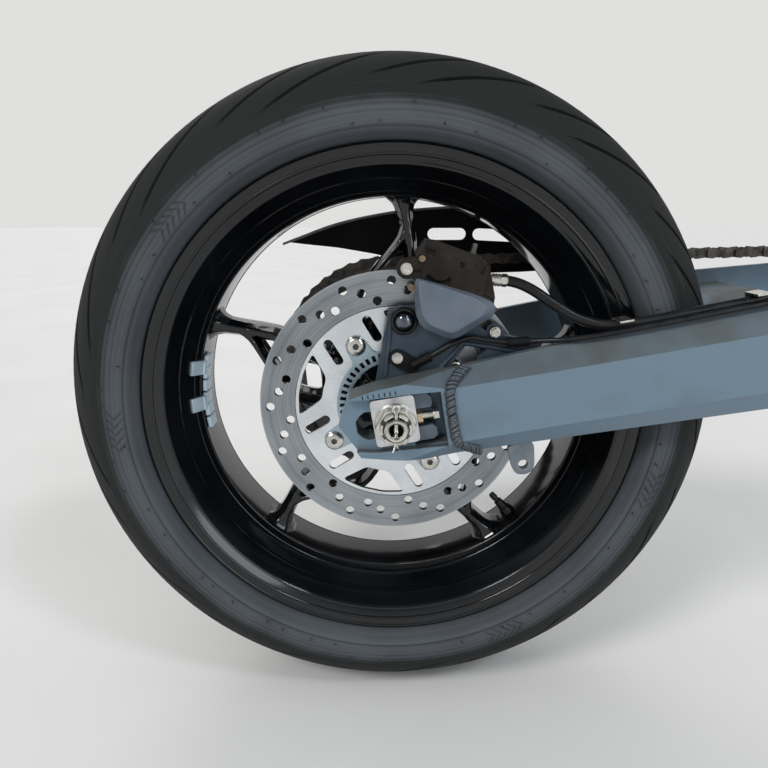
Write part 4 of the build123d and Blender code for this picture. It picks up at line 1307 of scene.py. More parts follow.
@dataclass
class Caliper:
    """Floating caliper on its bracket, with pads, bolts and wheel sensor."""

    # Outline of the smooth cover where it leaves the casting and on its face
    cover_foot: Points = (
        (16.5, 121.5), (67, 107.5), (85, 100), (85.5, 90), (53, 69.5), (45, 69.5), (23.5, 78.5), (17.5, 89))
    cover: Points = (
        (18.4, 120.5), (66, 105.0), (77, 97.5), (75.5, 91), (50, 75.6), (45.5, 75.6), (28, 82.8),
        (22, 92.5))
    cover_face: float = -108.0
    cover_slope: float = 6.0
    cover_root: float = 9.0
    # Casting: voxels that fuse it, how much of what stands beyond its face is drawn in, falling ridge
    grid: float = 1.25
    casting_face: float = -95.0
    sink: float = 0.55
    ridge: Point = (34.0, 152.0)
    fall: float = 0.36
    # Piston housings and fluid passages: start, end, radius, sides and radius at the end
    bosses: tuple[tuple[Spot, Spot, float, int, float], ...] = (
        ((38, -90, 129), (38, -102.5, 129), 13, 24, 11), ((62, -90, 119), (62, -102.5, 119), 13, 24, 11),
        ((27, -92, 147), (38, -92, 149), 4.2, 14, 4.2), ((16, -97, 128), (27, -97, 141), 4.0, 14, 4.0))
    # Three ribs across the casting and a crest along its top: size, middle and lean in degrees
    blocks: tuple[tuple[Spot, Spot, float], ...] = (
        ((4.5, 14, 32), (25, -97, 126), 14), ((4.5, 14, 32), (50, -97, 121), 14),
        ((4.5, 14, 32), (75, -97, 116), 14), ((44, 9, 5), (47, -95, 139.5), 22))
    bracket_face: float = -89.0
    rib_radius: float = 2.4
    rib_sink: float = 0.6
    bracket_line: tuple[tuple[Point, Point], ...] = (
        ((-8, 34), (-3, 88)), ((38, 37), (60, 63)), ((60, 63), (82, 60)), ((82, 60), (126, 52)))
    slide_bolt: Point = (8.0, 83.0)
    # Slide bolt's dome and its boot as (radius, height above the bracket)
    dome: Points = (
        (0, 10.2), (3.4, 10.0), (6.2, 8.8), (7.9, 6.6), (8.5, 4.0), (8.5, 2.0), (0, 2.0))
    boot: Points = (
        (8.8, 0), (12.2, 0), (12.4, 1.4), (11.2, 2.4), (11.8, 3.6), (11.0, 4.8), (9.4, 5.2), (8.8, 4.6))
    # Pin, sensor and clip bolts: X, Z, seat's height above the bracket, radius and height
    bolts: tuple[Row, ...] = (
        (10.0, 128.0, 5, 4.5, 4.6), (2.5, 50.4, 4.2, 4.2, 4.0), (88.0, 73.0, 0, 4.2, 7.0))
    # Pad pins: X, Z, radius and inner end
    pad_pins: tuple[Row, ...] = ((14, 112, 3.0, -50), (70, 128, 3.2, -48))
    pin_end: float = -92.0
    spring_pin: tuple[Spot, Spot, float] = ((22.5, -101, 137), (22.5, -88, 137), 3.0)
    bleed: tuple[Spot, Spot] = ((68, -66, 133), (72, -66, 148))

    def body(self, shop: Workshop) -> Shape:
        """Rough casting with ribs and piston housings, softened.

        Args:
            shop: Workshop that makes the pieces.

        Returns:
            The shape.
        """
        shape = shop.from_node("caliper", shop.upright)
        for start, end, radius, sides, tip in self.bosses:
            shape.rod(start, end, radius, sides, tip)
        for size, middle, lean in self.blocks:
            shape.box(size, at(*middle) @ Matrix.Rotation(math.radians(lean), 4, "Y"))
        shape.fuse(self.grid, 1)
        for vert in shape.bm.verts:
            ridge = self.ridge[1] - self.fall * max(0.0, vert.co.x - self.ridge[0])
            vert.co.z = min(vert.co.z, ridge)
            vert.co.y += self.sink * max(0.0, self.casting_face - vert.co.y)
        return shape

    def cover_plate(self) -> Shape:
        """Smooth cover on the outer face, sloped down its lower edges.

        Returns:
            The shape.
        """
        foot, face = rounded(self.cover_foot, 6.0), rounded(self.cover, 5.0)
        low = self.cover_face + self.cover_slope
        shape = Shape().plate(foot, self.cover_face, low)
        outer = [v for v in shape.bm.verts if v.co.y < low - 1.0]
        for vert, (x, z) in zip(outer, face):
            vert.co.x, vert.co.z = x, z
        shape.plate(foot, low, low + self.cover_root)
        return shape.bevel(0.8, 3, 24)

    def ribs(self) -> Shape:
        """Raised edges of the bracket.

        Returns:
            The shape.
        """
        shape = Shape()
        y = self.bracket_face + self.rib_sink
        for start, end in self.bracket_line:
            shape.rod((start[0], y, start[1]), (end[0], y, end[1]), self.rib_radius, 10)
        return shape

    def on_slide(self, profile: Sequence[Point], segments: int, closed: bool) -> Shape:
        """Turned piece on the slide bolt's line, from (radius, height above the bracket)."""
        made = Shape().lathe([(r, self.bracket_face - height) for r, height in profile], segments, closed)
        return Shape().stamp(made, [at(self.slide_bolt[0], 0, self.slide_bolt[1])])

    def heads(self) -> Shape:
        """Heads of the pin, sensor and clip bolts.

        Returns:
            The shape.
        """
        shape = Shape()
        for x, z, lift, radius, height in self.bolts:
            shape.stamp(flange_bolt(radius, height), [at(x, self.bracket_face - lift, z)])
        return shape

    def pins(self) -> Shape:
        """Two pad pins, and the spring's pin above them.

        Returns:
            The shape.
        """
        shape = Shape()
        for x, z, radius, end in self.pad_pins:
            shape.rod((x, self.pin_end, z), (x, end, z), radius, 18)
        return shape.rod(*self.spring_pin, 6)

    def bleeder(self) -> Shape:
        """Bleed nipple with its cap on the caliper's top."""
        foot, tip = Vector(self.bleed[0]), Vector(self.bleed[1])
        return Shape().rod(foot, foot.lerp(tip, 0.45), 5.0, 6).rod(foot.lerp(tip, 0.4), tip, 3.1, 16, 2.4)

    def build(self, shop: Workshop) -> None:
        """Makes the pieces of caliper, bracket and sensor.

        Args:
            shop: Workshop that makes the pieces.
        """
        shop.piece(self.body(shop), "caliper_body", Body.ARM, Finishes.CALIPER, replaces=["caliper"],
                   soft=75)
        shop.piece(self.cover_plate(), "caliper_cover", Body.ARM, Finishes.COVER, soft=28)
        shop.piece(self.heads(), "bracket_bolts", Body.ARM, Finishes.ZINC, replaces=["caliper_bolts"])
        for shape, name, finish in (
                (self.ribs(), "bracket_ribs", Finishes.BRACKET),
                (self.on_slide(self.dome, 36, False), "slide_bolt", Finishes.BLUED),
                (self.on_slide(self.boot, 40, True), "slide_boot", Finishes.RUBBER),
                (self.pins(), "pad_pins", Finishes.PIN),
                (self.bleeder(), "bleed_nipple", Finishes.DULL_ZINC_AND_SHADE)):
            shop.piece(shape, name, Body.ARM, finish)
        for node, name, finish, width in (
                ("caliper_bracket", "bracket_plate", Finishes.BRACKET, 1.2),
                ("brake_pads", "pad_plates", Finishes.PAD, 0.6),
                ("wheel_sensor", "speed_sensor", Finishes.PLASTIC, 0.8),
                ("bracket_stop", "arm_stop", Finishes.DULL_ZINC_AND_SHADE, 0.8)):
            shop.dressed(node, name, Body.ARM, finish, width)


@dataclass
class AxleEnds:
    """Axle, castle nut, split pin, adjusters and spacers."""

    # Axle: radius, bore, chamfer and round head; it stands proud of the nut
    radius: float = 10.0
    bore: float = 6.0
    chamfer: float = 1.2
    head_radius: float = 16.0
    head_height: float = 9.0
    proud: float = 4.0
    # Castle nut: hexagon, thread, flange as (radius, height) and six lands
    across_flats: float = 30.0
    thread: float = 10.1
    nut_height: float = 12.0
    flange: Points = ((17.6, 0), (18.0, 0.8), (17.4, 2.4), (14, 3.2))
    crown: float = 13.5
    crown_bore: float = 11.1
    crown_height: float = 6.0
    land_half: float = 20.0
    wire: float = 0.95
    # Adjusters: the lug's web, and the plate that lies on it
    web: float = -118.0
    plate_thick: float = 6.0
    plate_half: float = 19.0
    plate_top: float = 23.0
    # Screw's head, shank and locknut, each from, to and radius along the arm, and its thread's turns
    screw_deep: float = 5.0
    screw_head: Spot = (33.2, 38.6, 6.1)
    shank: Spot = (16, 34, 3.3)
    locknut: Spot = (19.2, 24.0, 7.4)
    turns: int = 8
    turn_radius: float = 3.6

    @property
    def seat(self) -> float:
        """Outer face of the adjuster's plate."""
        return self.web - self.plate_thick

    def axle(self, left_shift: float) -> Shape:
        """Hollow axle with chamfered ends and its round head on the left.

        Args:
            left_shift: How much further out the left side lies.

        Returns:
            The axle.
        """
        end = self.seat - self.nut_height - self.crown_height - self.proud
        head = left_shift - self.seat + 0.1
        bore, radius, edge = self.bore, self.radius, self.chamfer
        rim, top = self.head_radius, head + self.head_height
        return Shape().lathe([
            (bore, end + edge), (bore + edge, end), (radius - 1, end), (radius, end + edge), (radius, head),
            (rim - edge, head), (rim, head + edge), (rim, top - 1.6), (rim - 1.6, top), (bore + 2, top),
            (bore, top - 2)], 56)

    def nut(self) -> Shape:
        """Castle nut: flange, hexagon and six upright lands.

        Returns:
            The shape.
        """
        seat, top = self.seat, self.seat - self.nut_height
        hexagon = circle(0, 0, self.across_flats / math.sqrt(3), 6)
        shape = Shape().plate(hexagon, top, seat - 2.6, [circle(0, 0, self.thread, 30)]).bevel(0.9, 2, 50)
        flange = [(radius, seat - height) for radius, height in self.flange]
        shape.lathe([(self.thread, seat), *flange, (self.thread, flange[-1][1])], 48)
        turns = [self.land_half * step / 4 for step in range(-4, 5)]
        outline = [polar(self.crown, t) for t in turns] + [polar(self.crown_bore, t) for t in turns[::-1]]
        land = Shape().plate(outline, top - self.crown_height, top + 0.5).bevel(0.35)
        return shape.stamp(land, around(6, 0))

    def nut_shade(self) -> Shape:
        """Dark sheet between the nut's lands and round the thread, as painted shade.

        Returns:
            The shape.
        """
        top = self.seat - self.nut_height
        edge, hole = circle(0, 0, self.crown + 0.3, 40), circle(0, 0, self.radius, 40)
        return Shape().plate(edge, top - 0.25, top + 0.2, [hole])

    def pin(self) -> Shape:
        """Split pin with its eye on top and its legs bent round the nut.

        Returns:
            The shape.
        """
        y = self.seat - self.nut_height - self.crown_height / 2
        eye, low = self.crown + 3.2, -self.crown
        shape = Shape()
        for side, bend in ((1, -6.0), (-1, 2.5)):
            leg = [(side * 0.75, y, z) for z in (eye - 2.5, 0, low - 1)]
            leg += [(side * 1.5, y - bend * 0.3, low - 4), (side * 3.5, y - bend, low - 6.5)]
            shape.tube(leg, self.wire)
        half = ((0.7, -3), (2.9, -0.5), (2.4, 2.6))
        loop = [(x, y, eye + z) for x, z in half] + [(0, y, eye + 3.6)]
        loop += [(-x, y, eye + z) for x, z in half[::-1]]
        return shape.tube(loop, self.wire)

    def screws(self) -> Shape:
        """Right adjuster screw with its head and thread.

        Returns:
            The shape.
        """
        y = self.web + self.screw_deep
        start, end, radius = self.screw_head
        screw = Shape().rod((start, y, 0), (end, y, 0), radius, 6).bevel(0.5, 2, 50)
        start, end, radius = self.shank
        screw.rod((start, y, 0), (end, y, 0), radius, 20)
        for turn in range(self.turns):
            along = self.locknut[1] + 0.4 + turn
            screw.rod((along, y, 0), (along + 0.5, y, 0), self.turn_radius, 16)
        return screw

    def nuts(self) -> Shape:
        """Locknut of the right screw.

        Returns:
            The shape.
        """
        y = self.web + self.screw_deep
        start, end, radius = self.locknut
        return Shape().rod((start, y, 0), (end, y, 0), radius, 6).bevel(0.5, 2, 50)

    def plate(self) -> Shape:
        """Outer plate of the right adjuster, with rounded corners.

        Returns:
            The shape.
        """
        half, top = self.plate_half, self.plate_top
        outline = rounded([(-half, -half), (half, -half), (half, top), (-half, top)], 4.0)
        return Shape().plate(outline, self.seat, self.web, [circle(0, 0, self.thread, 40)]).bevel(0.6)

    def build(self, shop: Workshop) -> None:
        """Makes the pieces at both ends of the axle.

        Args:
            shop: Workshop that makes the pieces.
        """
        arm = shop.along_arm
        for shape, name, finish, replaces, place in (
                (self.axle(shop.left_shift), "axle_tube", Finishes.ZINC, ["axle"], None),
                (self.nut(), "castle_nut", Finishes.ZINC, ["axle_nut"], None),
                # Dark sheet under the nut's lands is painted shade
                (self.nut_shade(), "castle_nut_shade", Finishes.DULL_ZINC_AND_SHADE, [], None),
                (self.pin(), "cotter", Finishes.ZINC, ["split_pin"], None),
                (shop.both(self.screws()), "tension_screws", Finishes.ZINC, ["adjuster_screws"], arm),
                (shop.both(self.nuts()), "locknuts", Finishes.BRASS, [], arm)):
            shop.piece(shape, name, Body.ARM, finish, place, replaces)
        for side, face, twin in (("right", self.web, Matrix()),
                                 ("left", shop.left_shift - self.web, shop.to_left)):
            node = f"adjuster_{side}"
            block = shop.from_node(node, arm).cut(face, 1 if side == "right" else -1).bevel(1.4)
            shop.piece(block, f"adjuster_block_{side}", Body.ARM, Finishes.COVER, arm, [node])
            plate = Shape().stamp(self.plate(), [twin])
            shop.piece(plate, f"adjuster_plate_{side}", Body.ARM, Finishes.ALUMINIUM, arm)
        shop.dressed("wheel_spacers", "axle_spacers", Body.ARM, Finishes.ALUMINIUM, 0.6)


@dataclass
class ChainDrive:
    """Sprocket, carrier, roller chain, slider and guard on the left."""

    y: float = 107.0
    pitch: float = 15.875
    teeth: int = 48
    thick: float = 7.2
    # Radius at which the chain bends round the slider, and the pivot's place
    nose: float = 41.2
    pivot: Point = (562.182, 94.077)
    # Half of a gap between teeth: distance from its middle, and radius beyond the pitch circle
    gap: Points = ((6.9, 3.2), (5.6, 1.0), (4.4, -2.4), (2.4, -4.9))
    gap_floor: float = -5.6
    # Sprocket: bore, its five bolts, windows as (radius, half angle) and holes
    ring_bore: float = 48.2
    bolt_circle: float = 62.0
    bolt_hole: float = 5.2
    window: Points = ((83, -18), (101, -20), (103, 0), (101, 20), (83, 18), (84, 0))
    light_hole: Point = (92.0, 6.0)
    # Link plates: inner and outer face across, end's radius and half waist
    outer_plates: Row = (6.9, 8.5, 6.3, 4.4)
    inner_plates: Row = (4.9, 6.5, 6.7, 5.0)
    # Pins and rollers: half length, radius and sides
    pin: tuple[float, float, int] = (9.0, 2.6, 10)
    roller: tuple[float, float, int] = (5.0, 5.0, 12)
    # Guard: upper and lower edge, slots as start and end, and where it lies across
    guard_top: Points = (
        (-120.5, 142.5), (-60, 164.5), (4, 177.5), (60, 182.3), (85, 182.6), (190, 177.5), (300, 167))
    guard_low: Points = (
        (300, 118), (160, 108), (60, 105), (-13, 128), (-60, 136), (-100, 140))
    guard_slots: tuple[tuple[Point, Point], ...] = (
        ((50.7, 151.4), (82, 151.4)), ((103, 151), (143.5, 149)))
    slot_width: float = 13.4
    guard_side: Point = (121.0, 123.5)
    guard_lip: Point = (98.0, 123.3)
    lip_thick: float = 2.4
    # Feet: place along the arm and height of the beam's top there, upright, pad and bolt's head
    feet_at: Points = ((100, 37.94), (262, 43.6))
    foot_half: float = 9.0
    foot_span: Point = (1.0, 61.0)
    foot_pad: Spot = (18, 14.5, 2.5)
    pad_across: float = 128.25
    head_across: float = 129.5
    head_span: Point = (3.4, 7.5)
    head_radius: float = 4.6

    @property
    def radius(self) -> float:
        """Pitch circle of the sprocket."""
        return self.pitch / (2 * math.sin(math.pi / self.teeth))

    @property
    def bolt_turns(self) -> list[float]:
        """Angles of the sprocket's five bolts."""
        return [90 + 72 * k for k in range(5)]

    def sprocket(self) -> Shape:
        """Toothed ring with round-bottomed gaps, windows and bolt holes.

        Returns:
            The shape.
        """
        sides = [(-along, out) for along, out in self.gap] + [(0, self.gap_floor)] + list(self.gap[::-1])
        outline = [polar(self.radius + out, 90 + 360 * k / self.teeth + math.degrees(along / self.radius))
                   for k in range(self.teeth) for along, out in sides]
        holes = [circle(0, 0, self.ring_bore, 72)]
        for turn in self.bolt_turns:
            holes.append(circle(*polar(self.bolt_circle, turn), self.bolt_hole, 18))
            holes.append(rounded([polar(r, turn + 36 + off) for r, off in self.window], 6.0))
            holes.append(circle(*polar(self.light_hole[0], turn), self.light_hole[1], 20))
        half = self.thick / 2
        return Shape().plate(outline, self.y - half, self.y + half, holes).bevel(0.7, 1)

    def nuts(self) -> Shape:
        """Nuts and stud ends on the sprocket.

        Returns:
            The shape.
        """
        nut = flange_bolt(7.6, 6.4).rod((0, -6, 0), (0, -9.0, 0), 4.4, 20)
        outwards = at(self.bolt_circle, self.y + self.thick / 2, 0) @ Matrix.Diagonal((1, -1, 1, 1))
        return Shape().stamp(nut, [turned_by(turn) @ outwards for turn in self.bolt_turns])

    def pin_places(self) -> list[Vector]:
        """Pins of the chain, in order round the loop.

        Returns:
            Middle of each pin, in the mid-plane.
        """
        front = Vector((self.pivot[0], 0, self.pivot[1]))
        line = math.atan2(front.z, front.x)
        lean = math.acos((self.radius - self.nose) / front.length)
        straight = math.sqrt(front.length ** 2 - (self.radius - self.nose) ** 2)
        wrap, bend = self.radius * (math.tau - 2 * lean), self.nose * 2 * lean
        length = wrap + bend + 2 * straight
        count = 2 * round(length / (2 * self.pitch))
        low, high, square = line - lean, line + lean, math.pi / 2
        made = []
        for k in range(count):
            run = (self.radius * (math.pi - high) + k * length / count) % length
            if run < wrap:
                place = ray(high + run / self.radius) * self.radius
            elif run < wrap + straight:
                place = ray(low) * self.radius + ray(low + square) * (run - wrap)
            elif run < wrap + straight + bend:
                place = front + ray(low + (run - wrap - straight) / self.nose) * self.nose
            else:
                back = run - wrap - straight - bend
                place = front + ray(high) * self.nose + ray(high + square) * back
            made.append(place)
        return made

    def link(self, plates: Sequence[float], joint: Sequence[float]) -> Shape:
        """Pair of waisted side plates with their pins or rollers, about the link's middle.

        Args:
            plates: Inner and outer face, end's radius and half waist.
            joint: Half length, radius and sides of the pins or rollers.

        Returns:
            The link.
        """
        low, high, end, waist = plates
        reach, radius, sides = joint
        half = self.pitch / 2
        outline = []
        for centre, first, middle in ((half, -70, waist), (-half, 110, -waist)):
            outline += [(centre + x, z) for x, z in (polar(end, first + 28 * step) for step in range(6))]
            outline.append((0, middle))
        shape = Shape().plate(outline, self.y - high, self.y - low)
        shape.plate(outline, self.y + low, self.y + high)
        for x in (-half, half):
            shape.rod((x, self.y - reach, 0), (x, self.y + reach, 0), radius, sides)
        return shape

    def chain(self) -> Shape:
        """Endless roller chain with outer and inner links, rollers and pin heads.

        Returns:
            The shape.
        """
        pins = self.pin_places()
        places = []
        for a, b in zip(pins, pins[1:] + pins[:1]):
            lean = math.degrees(math.atan2(b.z - a.z, b.x - a.x))
            places.append(Matrix.Translation((a + b) / 2) @ turned_by(lean))
        made = Shape().stamp(self.link(self.outer_plates, self.pin), places[::2])
        return made.stamp(self.link(self.inner_plates, self.roller), places[1::2])

    def guard_edge(self) -> list[Point]:
        """Smooth line of the guard's upper edge."""
        return [tuple(p) for p in smooth_line([(x, z - 0.4) for x, z in self.guard_top], 5)]

    def guard(self) -> Shape:
        """Chain guard: slotted side and upper lip.

        Returns:
            The shape.
        """
        slots = [slot_outline(start, end, self.slot_width) for start, end in self.guard_slots]
        side = rounded(self.guard_top + self.guard_low, 7.0, 3)
        edge = self.guard_edge()
        under = [(x, z - self.lip_thick) for x, z in edge[::-1]]
        return Shape().plate(side, *self.guard_side, slots).plate(edge + under, *self.guard_lip).bevel(0.5)

    def guard_highlight_roll(self) -> Shape:
        """Rolled inner edge of the guard's lip, lighter grey as a painted highlight.

        Returns:
            The shape.
        """
        edge = self.guard_edge()
        inner, middle = self.guard_lip[0] + 0.4, self.lip_thick / 2
        return Shape().tube([(x, inner, z - middle) for x, z in edge[::3] + edge[-1:]], 1.35)

    def feet(self) -> Shape:
        """Feet of the guard on the left beam, along the arm.

        Returns:
            The shape.
        """
        shape = Shape()
        for along, top in self.feet_at:
            back, front = along - self.foot_half, along + self.foot_half
            low, high = (top + height for height in self.foot_span)
            upright = rounded([(back, low), (front, low), (front, high), (back, high)], 3.0, 3)
            shape.plate(upright, *self.guard_side)
            shape.box(self.foot_pad, at(along, self.pad_across, low + self.foot_pad[2] / 2))
            start, end = ((along, self.head_across, top + height) for height in self.head_span)
            shape.rod(start, end, self.head_radius, 6)
        return shape.bevel(0.4)

    def build(self, shop: Workshop) -> None:
        """Makes the drive's pieces.

        Args:
            shop: Workshop that makes the pieces.
        """
        arm = shop.along_arm
        shop.piece(self.sprocket(), "sprocket_ring", Body.WHEEL, Finishes.SPROCKET, replaces=["sprocket"],
                   soft=30)
        shop.piece(self.nuts(), "sprocket_bolting", Body.WHEEL, Finishes.ZINC, replaces=["sprocket_nuts"])
        shop.dressed("sprocket_carrier", "cush_carrier", Body.WHEEL, Finishes.WHEEL, 1.4)
        shop.piece(self.chain(), "roller_chain", Body.ARM, Finishes.STEEL, replaces=["chain"])
        shop.dressed("chain_slider", "slider", Body.ARM, Finishes.PLASTIC, 0.8, arm)
        shop.piece(self.guard(), "guard", Body.ARM, Finishes.PLASTIC, replaces=["chain_guard"])
        shop.piece(self.guard_highlight_roll(), "guard_highlight_roll", Body.ARM, Finishes.EDGE)
        shop.piece(self.feet(), "guard_feet", Body.ARM, Finishes.PLASTIC, arm)


@dataclass
class Arm:
    """Beams, lugs, weld beads, cross member, ears, pivot sleeve and stand tabs."""

    outer: float = -126.0
    # Centre line of the right bead: along, across, up
    bead: tuple[Spot, ...] = (
        (68, -108, 35.6), (58, -117.5, 31), (50.2, -125.4, 22.5), (48.6, -126.4, 8), (48.6, -126.4, -10),
        (50, -125.4, -23.5), (57, -121, -31), (68, -116, -38.2))
    ripples: int = 33
    ripple_radii: Spot = (2.5, 5.4, 5.2)
    ripple_tilt: float = -30.0
    ripple_range: Point = (0.96, 1.06)
    marks: int = 7
    first_mark: float = -23.8
    mark_step: float = 4.7
    mark_size: Spot = (0.9, 0.12, 3.6)
    mark_height: float = 27.2
    ledge_fall: float = 0.02
    # Pivot sleeve: place along the arm, ends beyond the outer faces, bore and radius
    pivot_along: float = 570.0
    sleeve_ends: Point = (2.0, 34.0)
    sleeve_bore: float = 10.0
    sleeve_radius: float = 26.0
    # Stand tab: outline, faces across, bore, and its bored rim as (radius, across)
    tab: Points = (
        (93.5, -40.6), (95, -60.5), (97.5, -68.5), (105.5, -71), (113.5, -68.5), (116, -60.5),
        (117.5, -40.6))
    tab_faces: Point = (-111.5, -105.5)
    tab_bore: float = 4.4
    tab_middle: Point = (105.5, -60.5)
    tab_rim: Points = (
        (4.4, -112.1), (7.6, -112.1), (8.2, -111.4), (8.2, -105.6), (7.6, -104.9), (4.4, -104.9))

    def weld(self) -> Shape:
        """Row of overlapping ripples along the right bead.

        Returns:
            The shape.
        """
        line = smooth_line(self.bead, 8)
        lengths = [0.0]
        for a, b in zip(line, line[1:]):
            lengths.append(lengths[-1] + (b - a).length)
        luck = random.Random(5)
        tilt = Matrix.Rotation(math.radians(self.ripple_tilt), 4, "Y")
        side = Shape()
        for k in range(self.ripples):
            goal = lengths[-1] * (k + 0.5) / self.ripples
            index = next(i for i, run in enumerate(lengths) if run >= goal)
            heading = (line[index] - line[index - 1]).normalized()
            wide = heading.cross(ACROSS).normalized()
            turn = Matrix((heading, heading.cross(wide), wide)).transposed().to_4x4()
            size, (thin, deep, broad) = luck.uniform(*self.ripple_range), self.ripple_radii
            place = Matrix.Translation(line[index]) @ turn @ tilt
            side.ball((thin, deep * size, broad * size), place, 7)
        return side

    def ledge_marks(self) -> Shape:
        """Setting marks on the right lug's ledge above the adjuster's plate.

        Returns:
            The shape.
        """
        shape = Shape()
        for k in range(self.marks):
            x = self.first_mark + self.mark_step * k
            shape.box(self.mark_size, at(x, self.outer, self.mark_height - self.ledge_fall * x))
        return shape

    def pivot(self) -> Shape:
        """Pivot sleeve with chamfered ends.

        Returns:
            The shape.
        """
        low, high = self.outer - self.sleeve_ends[0], -self.outer + self.sleeve_ends[1]
        bore, radius = self.sleeve_bore, self.sleeve_radius
        sleeve = Shape().lathe([
            (bore, low + 0.8), (bore + 0.8, low), (radius - 1, low), (radius, low + 1), (radius, high - 1),
            (radius - 1, high), (bore + 0.8, high), (bore, high - 0.8)], 64)
        return Shape().stamp(sleeve, [at(self.pivot_along, 0, 0)])

    def tabs(self) -> Shape:
        """Bored stand tab under the right beam.

        Returns:
            The shape.
        """
        x, z = self.tab_middle
        tab = Shape().plate(rounded(self.tab, 6.0), *self.tab_faces, [circle(x, z, self.tab_bore, 24)])
        return tab.bevel(0.9).stamp(Shape().lathe(self.tab_rim, 32), [at(x, 0, z)])

    def build(self, shop: Workshop) -> None:
        """Makes the arm's pieces.

        Args:
            shop: Workshop that makes the pieces.
        """
        arm = shop.along_arm
        for side in ("right", "left"):
            for node, name, width, steps in (("beam", "box_beam", 2.2, 3), ("lug", "axle_lug", 1.1, 2)):
                copy = shop.from_node(f"{node}_{side}", arm).bevel(width, steps, 14)
                shop.piece(copy, f"{name}_{side}", Body.ARM, Finishes.ARM, arm, [f"{node}_{side}"])
        for node, name, width in (("cross_member", "cross_box", 2.0), ("link_ears", "shock_ears", 0.8)):
            shop.dressed(node, name, Body.ARM, Finishes.ARM, width, arm)
        for shape, name, finish, replaces, soft in (
                (shop.both(self.weld()), "weld_ripples", Finishes.BEAD, ["weld_beads"], 60),
                (shop.both(self.ledge_marks()), "setting_marks", Finishes.MARK, [], 38),
                (self.pivot(), "pivot_tube", Finishes.DULL_ZINC_AND_SHADE, ["pivot_sleeve"], 38),
                (shop.both(self.tabs()), "spool_tabs", Finishes.TAB, ["stand_tabs"], 38)):
            shop.piece(shape, name, Body.ARM, finish, arm, replaces, soft)


@dataclass
class Lines:
    """Brake hose and sensor lead with their clips and end fittings."""

    # Routes behind the silencer, then runs along the beam with their place across and height above it
    hose: tuple[Spot, ...] = (
        (84.3, -84, 118), (98, -86, 118), (116, -90, 112), (136, -96, 98), (160, -101, 84))
    hose_runs: Row = (200, 290, 380, 430, 490)
    hose_across: float = -103.0
    hose_lift: float = 4.9
    hose_radius: float = 4.6
    lead: tuple[Spot, ...] = (
        (32.1, -94, 52.8), (42, -94, 58.5), (51, -94, 64), (66, -94, 69.5), (76, -94, 67),
        (98, -94, 64.5), (117, -96, 66))
    lead_runs: Row = (165, 270, 380, 430, 490)
    lead_across: float = -112.5
    lead_lift: float = 2.7
    lead_radius: float = 2.4
    # Last fittings along the beam, and the lead's connector
    tail: Point = (487, 512)
    plug_lift: float = 4.7
    tail_radius: float = 4.8
    plug_radii: Point = (4.4, 4.2)
    # Fitting at the caliper: both ends and radius
    banjo: tuple[Spot, Spot, float] = ((83.6, -83.9, 118), (98, -86, 117.4), 5.6)
    crimps: Spot = (0.12, 0.3, 0.48)
    crimp_half: float = 0.06
    # Along the arm and height of the right beam's top
    tops: Points = ((50, 35), (135, 40), (380, 47), (570, 32))

    def on_beam(self, slope: float, y: float, lift: float, runs: Sequence[float]) -> list[Spot]:
        """Places above the right beam's top, counted from the axle.

        Args:
            slope: The arm's slope in degrees.
            y: Place across.
            lift: Height above the beam.
            runs: Places along the arm.

        Returns:
            The places.
        """
        turn = Matrix.Rotation(-math.radians(slope), 3, "Y")
        made = []
        for along in runs:
            (s0, t0), (s1, t1) = next(pair for pair in zip(self.tops, self.tops[1:]) if along <= pair[1][0])
            height = t0 + (t1 - t0) * (along - s0) / (s1 - s0) + lift
            made.append(tuple(turn @ Vector((along, y, height))))
        return made

    def ferrule(self, start: Sequence[float], end: Sequence[float], radius: float) -> Shape:
        """Crimped fitting with three grooves and a hexagon.

        Args:
            start: End at the hose's tip.
            end: Other end.
            radius: Radius of the crimps.

        Returns:
            The fitting.
        """
        a, b = Vector(start), Vector(end)
        shape = Shape().rod(a, b, radius * 0.86, 24)
        for share in self.crimps:
            shape.rod(a.lerp(b, share - self.crimp_half), a.lerp(b, share + self.crimp_half), radius, 24)
        return shape.rod(a.lerp(b, 0.62), a.lerp(b, 0.92), radius * 1.02, 6)

    @staticmethod
    def plug(start: Sequence[float], end: Sequence[float], radius: float) -> Shape:
        """Round connector with a ring near each end.

        Args:
            start: One end.
            end: Other end.
            radius: Radius between the rings.

        Returns:
            The connector.
        """
        a, b = Vector(start), Vector(end)
        shape = Shape().rod(a, b, radius, 20)
        for share in (0.1, 0.8):
            shape.rod(a.lerp(b, share), a.lerp(b, share + 0.1), radius + 0.5, 20)
        return shape

    def build(self, shop: Workshop) -> None:
        """Makes hose, lead, their fittings and clips.

        Args:
            shop: Workshop that makes the pieces.
        """
        hose_run = self.on_beam(shop.slope, self.hose_across, self.hose_lift, self.hose_runs)
        lead_run = self.on_beam(shop.slope, self.lead_across, self.lead_lift, self.lead_runs)
        hose_tail = self.on_beam(shop.slope, self.hose_across, self.hose_lift, self.tail)
        lead_tail = self.on_beam(shop.slope, self.lead_across, self.plug_lift, self.tail)
        fittings = self.ferrule(*hose_tail, self.tail_radius).stamp(self.ferrule(*self.banjo), [Matrix()])
        plugs = self.plug(*self.lead[-2:], self.plug_radii[0])
        plugs.stamp(self.plug(*lead_tail, self.plug_radii[1]), [Matrix()])
        hose = Shape().tube([*self.hose, *hose_run], self.hose_radius)
        lead = Shape().tube([*self.lead, *lead_run], self.lead_radius)
        for shape, name, finish, replaces in (
                (hose, "brake_line", Finishes.RUBBER, ["brake_hose"]),
                (lead, "sensor_wire", Finishes.RUBBER, ["sensor_lead"]),
                (fittings, "hose_fittings", Finishes.ZINC, []),
                (plugs.bevel(0.3, 1), "wire_plugs", Finishes.PLASTIC, [])):
            shop.piece(shape, name, Body.ARM, finish, replaces=replaces)
        shop.dressed("hose_clips", "beam_clips", Body.ARM, Finishes.ZINC, 0.4)


